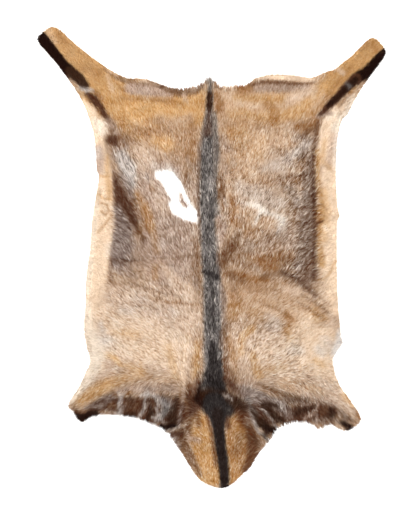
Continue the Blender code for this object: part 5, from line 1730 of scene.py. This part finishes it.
@dataclass
class Undercoat:
    """The dense short hair over the leather, as one closed slab that starts inside the leather."""

    plan: HidePlan
    pitch: float = 5.0 * MM
    lock_share: float = 0.6
    # Painted shade under the guard hair: the brightness where that hair is shortest, and how much darker for
    # each metre of its length
    shade: float = 1.0  # how bright it is beside the hair above it, where that is shortest
    shade_by_length: float = 24.0  # and how much darker for each metre of the hair's length
    fill: float = 0.80  # how much of the guard hair's root it hides
    sunk: float = 0.3 * MM  # how far its lower side lies inside the leather

    RINGS = (SlabRing(0.5 * MM, 0.0), SlabRing(0.6 * MM, 0.45), SlabRing(1.6 * MM, 1.0))
    FINISH = Finish("undercoat", Sheen.UNDERCOAT, 420.0, 0.5, 0.6)

    def top(self, points: np.ndarray) -> np.ndarray:
        """The height of its upper side: below the coat's surface by a share of the hair's root."""
        values = self.plan.map.at(points)
        return values[:, 2] + values[:, 3] - self.fill * root_sink(self.plan, points)

    def build(self) -> bpy.types.Object:
        """The undercoat, with painted shade that darkens it where the hair above it is longer.

        Returns:
            The piece.
        """
        shape = slab(
            self.plan, self.RINGS, self.lock_share, self.pitch,
            lambda points: self.plan.map.at(points)[:, 2] + LEATHER - self.sunk,
            self.top,
        )
        mesh = shape.mesh("undercoat")
        mesh.shade_smooth()
        plan_places = shape.places[:, :2]
        # painted shade: darker under longer hair, and none under white hair
        shade = self.shade - self.shade_by_length * hair_habit(plan_places)[:, 0]
        colour = coat_colour(self.plan.within(plan_places))
        shade += glow(colour) * (1.0 - shade)
        paint(mesh, COAT_PAINT, shaded(colour, shade))
        return piece_from(mesh, "root")

    def dress(self, undercoat: bpy.types.Object, fibre: bpy.types.NodeTree) -> None:
        """Gives it the undercoat's finish."""
        undercoat.data.materials.append(self.FINISH.material(fibre))


SINK_IN_COAT = 0.62  # the most of the coat's height by which a root lies below its surface
SINK_BY_LENGTH = 0.26  # and the share of the hair's length


def root_sink(plan: HidePlan, points: np.ndarray) -> np.ndarray:
    """How far below the coat's surface the hair is rooted: more for long hair, less in a thin coat.

    Args:
        plan: The hide's plan.
        points: Plan points in metres, one row each.

    Returns:
        The distance at each point.
    """
    length = hair_habit(points)[:, 0]
    coat = plan.map.at(points)[:, 3] - LEATHER
    return np.minimum(SINK_IN_COAT * coat, SINK_BY_LENGTH * length)


def shaded(display: np.ndarray, light: np.ndarray | float) -> np.ndarray:
    """Display colours with their linear light multiplied, still as display values."""
    gain = np.asarray(light, float) ** (1 / DISPLAY_GAMMA)
    return display * (gain[:, None] if gain.ndim else gain)


class BodyPart(Enum):
    """The parts of the body that the guard hair is split into: its name, left or right, and y range in mm."""

    RUMP_LEFT = ("hair_rump_left", -1, (150, 600))
    RUMP_RIGHT = ("hair_rump_right", 1, (150, 600))
    RIBS_LEFT = ("hair_ribs_left", -1, (-30, 150))
    RIBS_RIGHT = ("hair_ribs_right", 1, (-30, 150))
    SHOULDER_LEFT = ("hair_shoulder_left", -1, (-210, -30))
    SHOULDER_RIGHT = ("hair_shoulder_right", 1, (-210, -30))
    NECK_LEFT = ("hair_neck_left", -1, (-600, -210))
    NECK_RIGHT = ("hair_neck_right", 1, (-600, -210))

    def holds(self, roots: np.ndarray) -> np.ndarray:
        """Whether each root grows on this part.

        Args:
            roots: Where the strands are rooted, one row each.

        Returns:
            True beside each root of this part.
        """
        _, side, (low, high) = self.value
        y = roots[:, 1] / MM
        return (np.where(roots[:, 0] < 0, -1, 1) == side) & (y >= low) & (y < high)


@dataclass
class Strands:
    """Strands of hair as whole arrays, one row each: three places along them, half width, colours."""

    base: np.ndarray
    middle: np.ndarray
    tip: np.ndarray
    half_width: np.ndarray
    colour: np.ndarray  # display colours at the base, the middle and the tip

    CREST = 0.8  # how high a strand's ridge stands, beside its half width
    CURVED_ROOT = 0.8  # how wide a curved strand is at its base, beside its middle
    # Where each place of a strand lies in its cell of the map: across the strand, and along it
    STRAIGHT_CELL = np.array([(0.05, 0.16), (0.95, 0.16), (0.5, 0.03), (0.5, 0.97)])
    CURVED_CELL = np.array([
        (0.05, 0.14), (0.95, 0.14), (0.5, 0.03), (0.05, 0.54), (0.95, 0.54), (0.5, 0.48), (0.5, 0.97),
    ])

    def some(self, chosen: np.ndarray) -> "Strands":
        """The chosen strands alone.

        Args:
            chosen: True beside each of them.

        Returns:
            Those strands.
        """
        return Strands(
            self.base[chosen], self.middle[chosen], self.tip[chosen],
            self.half_width[chosen], self.colour[chosen],
        )

    def ring(self, centre: np.ndarray, ahead: np.ndarray, half_width: np.ndarray) -> np.ndarray:
        """Three places round a strand: left, right and above its centre line.

        Args:
            centre: The centre line's places, one row for each strand.
            ahead: Unit vectors along the strands.
            half_width: Half the strands' widths.

        Returns:
            Three places for each strand.
        """
        side = unit(np.cross(ahead, [0.0, 0.0, 1.0]))
        above = np.cross(side, ahead)
        return np.stack([
            centre - side * half_width[:, None],
            centre + side * half_width[:, None],
            centre + above * (self.CREST * half_width)[:, None],
        ], axis=1)

    def straight(self) -> tuple[np.ndarray, np.ndarray, np.ndarray]:
        """Spikes of four triangles each, straight from base to tip.

        Returns:
            Places, triangles and display colours.
        """
        count = len(self.base)
        ring = self.ring(self.base, unit(self.tip - self.base), self.half_width)
        places = np.concatenate([ring, self.tip[:, None]], axis=1).reshape(-1, 3)
        corners = np.array([[0, 1, 2], [1, 3, 2], [0, 2, 3], [0, 3, 1]])
        triangles = (np.arange(count)[:, None, None] * 4 + corners).reshape(-1, 3)
        return places, triangles, self.colour[:, [0, 0, 0, 2]].reshape(-1, 3)

    def curved(self) -> tuple[np.ndarray, np.ndarray, np.ndarray]:
        """Spikes of ten triangles each that bend at their middle.

        Returns:
            Places, triangles and display colours.
        """
        count = len(self.base)
        first = unit(self.middle - self.base)
        through = unit(self.tip - self.base)
        lower = self.ring(self.base, first, self.CURVED_ROOT * self.half_width)
        upper = self.ring(self.middle, through, self.half_width)
        places = np.concatenate([lower, upper, self.tip[:, None]], axis=1).reshape(-1, 3)
        corners = np.array([
            [0, 1, 2],
            [1, 4, 5], [1, 5, 2], [0, 2, 5], [0, 5, 3], [0, 3, 4], [0, 4, 1],
            [4, 6, 5], [3, 5, 6], [3, 6, 4],
        ])
        triangles = (np.arange(count)[:, None, None] * 7 + corners).reshape(-1, 3)
        return places, triangles, self.colour[:, [0, 0, 0, 1, 1, 1, 2]].reshape(-1, 3)


def map_cells(bases: np.ndarray) -> np.ndarray:
    """Lays strands out on a square map, one to a cell, so that no strand covers another there.

    The strands are ranked from front to back and cut into as many rows as there are columns, and
    each row is ranked from left to right, so neighbours on the hide stay neighbours on the map.

    Args:
        bases: Where each strand starts.

    Returns:
        For each strand its cell's lower corner and, last, the cell's width, where the map is 1 wide.
    """
    count = len(bases)
    across = int(np.ceil(np.sqrt(count)))
    row = np.argsort(np.argsort(bases[:, 1])) // across
    column = np.empty(count, int)
    column[np.lexsort((bases[:, 0], row))] = np.arange(count) % across
    return np.column_stack([column, row, np.ones(count)]) / across


@dataclass
class Clumps:
    """Locks that the hair gathers into, one at a random place in each cell of a square grid."""

    pitch: float
    seed: int

    MARGIN = 3  # how many cells the grid reaches past the hide's box
    JITTER = (0.1, 0.9)
    TRAITS = 4

    def __post_init__(self) -> None:
        """Draws the locks' places and characters."""
        chance = np.random.default_rng(self.seed)
        low = np.array(CAD_BOX[0][:2]) - self.MARGIN * self.pitch
        high = np.array(CAD_BOX[1][:2]) + self.MARGIN * self.pitch
        self.low = low
        self.columns, self.rows = (int(n) for n in np.ceil((high - low) / self.pitch))
        cell = np.stack(np.meshgrid(np.arange(self.columns), np.arange(self.rows)), axis=2)
        jitter = chance.uniform(*self.JITTER, cell.shape)
        self.places = (cell + jitter) * self.pitch + low
        self.character = chance.normal(0.0, 1.0, (self.rows, self.columns, self.TRAITS))

    def nearest(self, points: np.ndarray) -> tuple[np.ndarray, np.ndarray]:
        """Finds the lock nearest each point, among its own cell's and the eight round it.

        Args:
            points: Plan points in metres, one row each.

        Returns:
            The locks' places, and their characters as rows of random numbers round zero.
        """
        cell = np.floor((points - self.low) / self.pitch).astype(int)
        best = np.full(len(points), np.inf)
        place = np.zeros((len(points), 2))
        character = np.zeros((len(points), self.TRAITS))
        for down in (-1, 0, 1):
            for across in (-1, 0, 1):
                column = np.clip(cell[:, 0] + across, 0, self.columns - 1)
                row = np.clip(cell[:, 1] + down, 0, self.rows - 1)
                there = self.places[row, column]
                away = np.sum((points - there) ** 2, axis=1)
                closer = away < best
                best[closer] = away[closer]
                place[closer] = there[closer]
                character[closer] = self.character[row, column][closer]
        return place, character


@dataclass(frozen=True)
class Unruliness:
    """How the strands stray from the hair's common way, length and height."""

    lock_pitch: float = 8.5 * MM  # from lock to lock, and the same for fine and for broad ones
    fine_pitch: float = 2.6 * MM
    broad_pitch: float = 24 * MM
    lock_turn: float = 0.20  # the spread of a lock's own turn in radians, and the others'
    fine_turn: float = 0.16
    broad_turn: float = 0.10
    least_turn: float = 0.35  # the share of these turns where the hair doesn't gather at all
    own_turn: float = 0.08
    length_spread: float = 0.20  # of a strand, and of a whole lock where the hair gathers
    lock_length: float = 0.10
    lock_pull: float = 0.75  # how far a strand leans towards its lock's middle
    pull_start: float = 0.8  # the lean starts where twice the gather is more than this
    fine_pull: float = 0.65
    past_edge: tuple = (0.50, 1.12)  # the share of the overhang that a strand may use
    shortening: float = 0.72  # by how much a strand past that is shortened, and how often
    shortenings: int = 6
    tip_rise: tuple = (-0.55, 0.25)  # the tip's height over the coat, as a share of the root's depth
    lock_rise: float = 0.12
    least_height: float = 0.6 * MM  # of a tip above the underside
    own_bend: float = 0.09  # how far the middle stands aside, as a share of the strand
    lock_bend: float = 0.05
    arch: float = 0.10  # and how far up
    thickness: tuple = (0.75, 1.25)
    curved_thickness: float = 0.85


@dataclass(frozen=True)
class Toning:
    """How the strands' colours differ from the coat's own."""

    reading: float = 0.60  # the place along a strand where the coat's colour is read, and its spread
    reading_spread: float = 0.16
    feather: float = 0.8 * MM  # the spread of that place across the hair
    steps: tuple = (-0.22, 0.25)  # from there to the places for the base and for the tip
    own: float = 1.9  # how much a strand's own shade counts, and its fine and its broad lock's
    fine: float = 1.1
    broad: float = 0.3
    lock: float = 0.35  # and its lock's, which counts more where the hair gathers
    gathered_lock: float = 3.0
    gathered_from: float = 0.55
    lock_limit: float = 2.0
    own_limits: tuple = (-1.5, 2.0)
    pale_above: float = 130.0  # the display value of a coat that has all of its pale hairs
    pale_least: float = 0.15  # the least share of that value that counts
    pale_power: float = 1.5
    pale_share: float = 0.60  # how far the palest hair of a mottled coat goes towards PALE_HAIR
    pale_limit: float = 0.8
    pale_hue: float = 0.1  # how much of the coat's own hue a pale hair keeps
    brightening: float = 0.1  # how mottled hair is brighter all over, and deeper hair darker
    darkening: float = 1.1
    lights: tuple = (0.58, 0.95, 1.25)  # the light on the base, the middle and the tip
    white_light: float = 1.1  # and on every part of pure white hair
    deep_vividness: float = 0.9  # how much more vivid deeper hair is, and hair in shade
    shade_vividness: float = 0.25


@dataclass
class GuardHair:
    """The coat's visible hair: straight spikes for most of it, curved ones for the longest."""

    plan: HidePlan
    pitch: float = 1.40 * MM  # the distance between roots where the coat is densest
    jitter: float = 0.45  # how far a root strays, as a share of that
    curved_share: float = 0.06
    curved_reach: float = 1.35  # how much longer the curved ones are
    outermost: float = -2 * MM  # how deep inside the edge the first roots are tried
    rim_clearance: float = 0.3 * MM
    lock_share: float = 0.6  # as that of the leather and the undercoat
    fringe: float = 7 * MM  # how deep inside the edge the hair turns to lie over it
    fringe_turn: float = 1.3
    fringe_start: float = 0.6  # the part of the hair's way outwards from which it isn't turned
    overhang_share: float = 0.85  # of the locks' length at the edge
    overhang_more: float = 0.8 * MM
    stray: Unruliness = Unruliness()
    toning: Toning = Toning()

    FINISH = Finish("guard_hair", Sheen.HAIR, 260.0, 0.30, 0.0)

    def roots(self, chance: np.random.Generator) -> tuple[np.ndarray, np.ndarray]:
        """Where the hair grows, thinned to each zone's crowding.

        Args:
            chance: Where the random numbers come from.

        Returns:
            The roots' plan points, and the hair's habit at each.
        """
        points = self.plan.lattice(self.pitch, self.outermost)
        points += chance.uniform(-self.jitter, self.jitter, points.shape) * self.pitch
        values = self.plan.map.at(points)
        hidden = self.lock_share * np.maximum(values[:, 1] - HidePlan.SHORT_LOCK, 0.0)
        points = points[values[:, 0] > self.rim_clearance + hidden]
        habit = hair_habit(points)
        kept = chance.uniform(0.0, 1.0, len(points)) < habit[:, 2]
        return points[kept], habit[kept]

    def grow(self) -> tuple[Strands, np.ndarray]:
        """Grows every strand.

        A strand starts at its root below the coat's surface, lies along the hair's direction with
        its lock's and its own turn, leans towards its lock's middle, and ends at the surface. Its
        tip goes no further past the edge than a random share of the locks' length there.

        Returns:
            The strands, and True beside each one that is curved.
        """
        stray = self.stray
        chance = np.random.default_rng(SEED + 1)
        root, habit = self.roots(chance)
        count = len(root)
        length, width, _, _, gather = habit.T
        curved = chance.uniform(0.0, 1.0, count) < self.curved_share
        place, character = Clumps(stray.lock_pitch, SEED + 2).nearest(root)
        fine_place, fine = Clumps(stray.fine_pitch, SEED + 4).nearest(root)
        broad = Clumps(stray.broad_pitch, SEED + 3).nearest(root)[1]
        wide_turn = stray.lock_turn * character[:, 0] + stray.broad_turn * broad[:, 0]
        angle = (wide_turn + stray.fine_turn * fine[:, 0]) * (stray.least_turn + gather)
        angle += chance.normal(0.0, stray.own_turn, count)
        way = self.over_the_edge(root, turned(self.plan.lie(root), angle))
        spread = np.exp(chance.normal(0.0, stray.length_spread, count))
        reach = length * spread * np.where(curved, self.curved_reach, 1.0)
        reach *= 1.0 + stray.lock_length * character[:, 1] * gather
        tip = root + way * reach[:, None]
        side = np.column_stack([-way[:, 1], way[:, 0]])
        gathered = eased(2.0 * gather - stray.pull_start)
        pull = np.sum((place - root) * side, axis=1) * stray.lock_pull * gathered
        pull += np.sum((fine_place - root) * side, axis=1) * stray.fine_pull
        tip += side * pull[:, None]
        allowed = self.overhang(tip, chance.uniform(*stray.past_edge, count))
        for _ in range(stray.shortenings):
            over = self.plan.depth(tip) < -allowed
            tip[over] = root[over] + (tip[over] - root[over]) * stray.shortening
        start, end = self.plan.map.at(root), self.plan.map.at(tip)
        sink = root_sink(self.plan, root)
        lift = chance.uniform(*stray.tip_rise, count) * sink
        root_z = start[:, 2] + start[:, 3] - sink
        tip_z = end[:, 2] + end[:, 3] + lift + stray.lock_rise * sink * character[:, 2]
        tip_z = np.maximum(tip_z, end[:, 2] + stray.least_height)
        base = np.column_stack([root, root_z])
        tip3 = np.column_stack([tip, tip_z])
        middle = base + 0.5 * (tip3 - base)
        bend = chance.normal(0.0, stray.own_bend, count) + stray.lock_bend * character[:, 3]
        middle[:, :2] += side * (bend * reach)[:, None]
        middle[:, 2] += stray.arch * reach
        colour = self.colours(root, tip, habit, (character, fine, broad), chance)
        thick = 0.5 * width * chance.uniform(*stray.thickness, count)
        thick *= np.where(curved, stray.curved_thickness, 1.0)
        return Strands(base, middle, tip3, thick, colour), curved

    def over_the_edge(self, root: np.ndarray, way: np.ndarray) -> np.ndarray:
        """Turns the hair outwards close to an edge that it would otherwise leave bare.

        Args:
            root: Where the strands are rooted, as plan points.
            way: The unit plan vectors along which they lie.

        Returns:
            The turned ways.
        """
        outward = self.plan.outward(root)
        near = eased(1.0 - self.plan.depth(root) / self.fringe)
        bare = eased(self.fringe_start - np.sum(way * outward, axis=1))
        return unit(way + outward * (self.fringe_turn * near * bare)[:, None])

    def overhang(self, tip: np.ndarray, share: np.ndarray) -> np.ndarray:
        """How far past the edge each tip may go, by its share of the locks' length there."""
        return (self.plan.map.at(tip)[:, 1] * self.overhang_share + self.overhang_more) * share

    def colours(
        self, root: np.ndarray, tip: np.ndarray, habit: np.ndarray, locks: tuple, chance: np.random.Generator,
    ) -> np.ndarray:
        """The colours of each strand's base, middle and tip.

        The markings are read near the strand's middle, a little before it for the base and a
        little past it for the tip, with a random step along and across the hair that feathers
        the markings' edges. The base lies in shade and the tip in the light.

        Args:
            root: Where the strands are rooted, as plan points.
            tip: Where they end.
            habit: The hair's habit at the roots.
            locks: The characters of each strand's lock, its fine lock and its broad one.
            chance: Where the random numbers come from.

        Returns:
            Display colours, three for each strand.
        """
        toning = self.toning
        count = len(root)
        mottle, gather = habit[:, 3], habit[:, 4]
        forward = tip - root
        side = unit(np.column_stack([-forward[:, 1], forward[:, 0]]))
        along = toning.reading + chance.normal(0.0, toning.reading_spread, count)
        across = side * chance.normal(0.0, toning.feather, count)[:, None]
        middling, fine, broad = (np.clip(lock[:, 1], -toning.lock_limit, toning.lock_limit) for lock in locks)
        own = np.clip(chance.normal(0.0, 1.0, count), *toning.own_limits)
        by_lock = toning.lock + toning.gathered_lock * np.maximum(gather - toning.gathered_from, 0.0)
        shift = mottle * (toning.own * own + toning.fine * fine + by_lock * middling + toning.broad * broad)
        ends = []
        for step in toning.steps:
            spot = self.plan.within(root + forward * (along + step)[:, None] + across)
            ends.append(coat_colour(spot))
        white = glow(ends[1])
        shift *= 1.0 - white
        fullness = np.clip(ends[1].mean(axis=1) / toning.pale_above, toning.pale_least, 1.0)
        paler = toning.pale_share * fullness**toning.pale_power * np.maximum(shift, 0.0)
        paler = np.clip(paler, 0.0, toning.pale_limit)[:, None]
        deeper = -np.minimum(shift, 0.0)
        brightness = np.exp(toning.brightening * mottle * (1.0 - white) - toning.darkening * deeper)
        shades = []
        for colour, light in zip((ends[0], 0.5 * (ends[0] + ends[1]), ends[1]), toning.lights):
            hue = np.minimum((colour / colour.mean(axis=1, keepdims=True)) ** toning.pale_hue, 1.0)
            tinted = colour + paler * (np.array(PALE_HAIR, float) * hue - colour)
            vividness = toning.deep_vividness * deeper + toning.shade_vividness * (1.0 - light)
            tinted *= (tinted / tinted.mean(axis=1, keepdims=True)) ** vividness[:, None]
            shades.append(shaded(tinted, brightness * (light + white * (toning.white_light - light))))
        return np.stack(shades, axis=1)

    def build(self) -> list:
        """Grows the hair and joins each part's.

        Returns:
            A painted piece for each part of the body.
        """
        strands, curved = self.grow()
        pieces = []
        for part in BodyPart:
            here = part.holds(strands.base)
            pieces.append(self.part_piece(part, strands.some(here & ~curved), strands.some(here & curved)))
        return pieces

    def part_piece(self, part: BodyPart, straight: Strands, curved: Strands) -> bpy.types.Object:
        """One part's hair, straight and curved together, with a map that gives each strand its own cell.

        Args:
            part: The part of the body.
            straight: Its straight strands.
            curved: Its curved strands.

        Returns:
            The piece.
        """
        places, triangles, colours = straight.straight()
        more_places, more_triangles, more_colours = curved.curved()
        triangles = np.vstack([triangles, more_triangles + len(places)])
        places = np.vstack([places, more_places])
        mesh = Shape(places, triangles).mesh(part.value[0])
        mesh.shade_smooth()
        paint(mesh, COAT_PAINT, np.vstack([colours, more_colours]))
        cells = map_cells(np.vstack([straight.base, curved.base]))[:, None]
        cells, more_cells = np.split(cells, [len(straight.base)])
        on_map = np.vstack([
            (cells[..., :2] + cells[..., 2:] * Strands.STRAIGHT_CELL).reshape(-1, 2),
            (more_cells[..., :2] + more_cells[..., 2:] * Strands.CURVED_CELL).reshape(-1, 2),
        ])
        layer = mesh.uv_layers.new(name=HAIR_MAP)
        layer.uv.foreach_set("vector", on_map[triangles].astype(np.float32).ravel())
        return piece_from(mesh, "root")

    def dress(self, pieces: list, fibre: bpy.types.NodeTree) -> None:
        """Gives every piece the hair's finish.

        Args:
            pieces: The pieces of guard hair.
            fibre: The mottling node group.
        """
        material = self.FINISH.material(fibre)
        for piece in pieces:
            piece.data.materials.append(material)


@dataclass
class Studio:
    """The floor, the light and the camera straight above the hide."""

    lens: float = 85.0
    sensor: float = 36.0
    floor_size: float = 12.0
    floor_tone: float = 0.93
    floor_roughness: float = 0.9
    sky: float = 2.05
    key_power: float = 85.0
    key_size: float = 1.6
    key_place: tuple = (-0.4, 1.6, 2.6)
    aimed_at: float = 8 * MM  # the height that the picture's scale is true for

    def floor(self) -> None:
        """A plain white floor under the hide."""
        half = self.floor_size / 2
        corners = [(-half, -half, 0.0), (half, -half, 0.0), (half, half, 0.0), (-half, half, 0.0)]
        mesh = bpy.data.meshes.new("floor")
        mesh.from_pydata(corners, [], [(0, 1, 2, 3)])
        material = bpy.data.materials.new("floor_white")
        material.use_nodes = True
        shader = material.node_tree.nodes["Principled BSDF"]
        shader.inputs["Base Color"].default_value = (self.floor_tone, self.floor_tone, self.floor_tone, 1.0)
        shader.inputs["Roughness"].default_value = self.floor_roughness
        mesh.materials.append(material)
        floor = bpy.data.objects.new("floor", mesh)
        bpy.context.scene.collection.objects.link(floor)

    def light(self) -> None:
        """Even white light from all round, and one broad soft light from the upper left."""
        scene = bpy.context.scene
        world = bpy.data.worlds.new("studio")
        world.use_nodes = True
        world.node_tree.nodes["Background"].inputs["Color"].default_value = (1.0, 1.0, 1.0, 1.0)
        world.node_tree.nodes["Background"].inputs["Strength"].default_value = self.sky
        scene.world = world
        lamp = bpy.data.lights.new("softbox", "AREA")
        lamp.shape = "SQUARE"
        lamp.size = self.key_size
        lamp.energy = self.key_power
        softbox = bpy.data.objects.new("softbox", lamp)
        softbox.location = self.key_place
        softbox.rotation_euler = (-softbox.location.normalized()).to_track_quat("-Z", "Y").to_euler()
        scene.collection.objects.link(softbox)
        scene.view_settings.view_transform = "Standard"

    def camera(self) -> None:
        """A camera that looks straight down with the neck towards the lower edge of the picture."""
        height = PHOTO_HEIGHT * PHOTO_PIXEL * self.lens / self.sensor
        data = bpy.data.cameras.new("camera")
        data.lens = self.lens
        data.sensor_width = self.sensor
        camera = bpy.data.objects.new("camera", data)
        x = (PHOTO_WIDTH / 2 - PHOTO_MIDDLE[0]) * PHOTO_PIXEL + OUTLINE_SHIFT[0]
        y = (PHOTO_MIDDLE[1] - PHOTO_HEIGHT / 2) * PHOTO_PIXEL + OUTLINE_SHIFT[1]
        camera.location = (x, y, height + self.aimed_at)
        bpy.context.scene.collection.objects.link(camera)
        bpy.context.scene.camera = camera


def report(piece: bpy.types.Object) -> None:
    """Logs a piece and how many triangles it has."""
    LOG.info("%s: %d triangles", piece.name, len(piece.data.polygons))


def main() -> None:
    """Builds the studio, the skin, the undercoat and the hair, in that order."""
    studio = Studio()
    studio.camera()
    studio.floor()
    studio.light()
    plan = HidePlan()
    fibre = fibre_group()
    skin = Skin(plan)
    leather = skin.build()
    skin.dress(leather, fibre)
    report(leather)
    undercoat = Undercoat(plan)
    under = undercoat.build()
    undercoat.dress(under, fibre)
    report(under)
    guard = GuardHair(plan)
    hair = guard.build()
    guard.dress(hair, fibre)
    for piece in hair:
        report(piece)
    skin.declare()


if __name__ == "__main__":
    main()
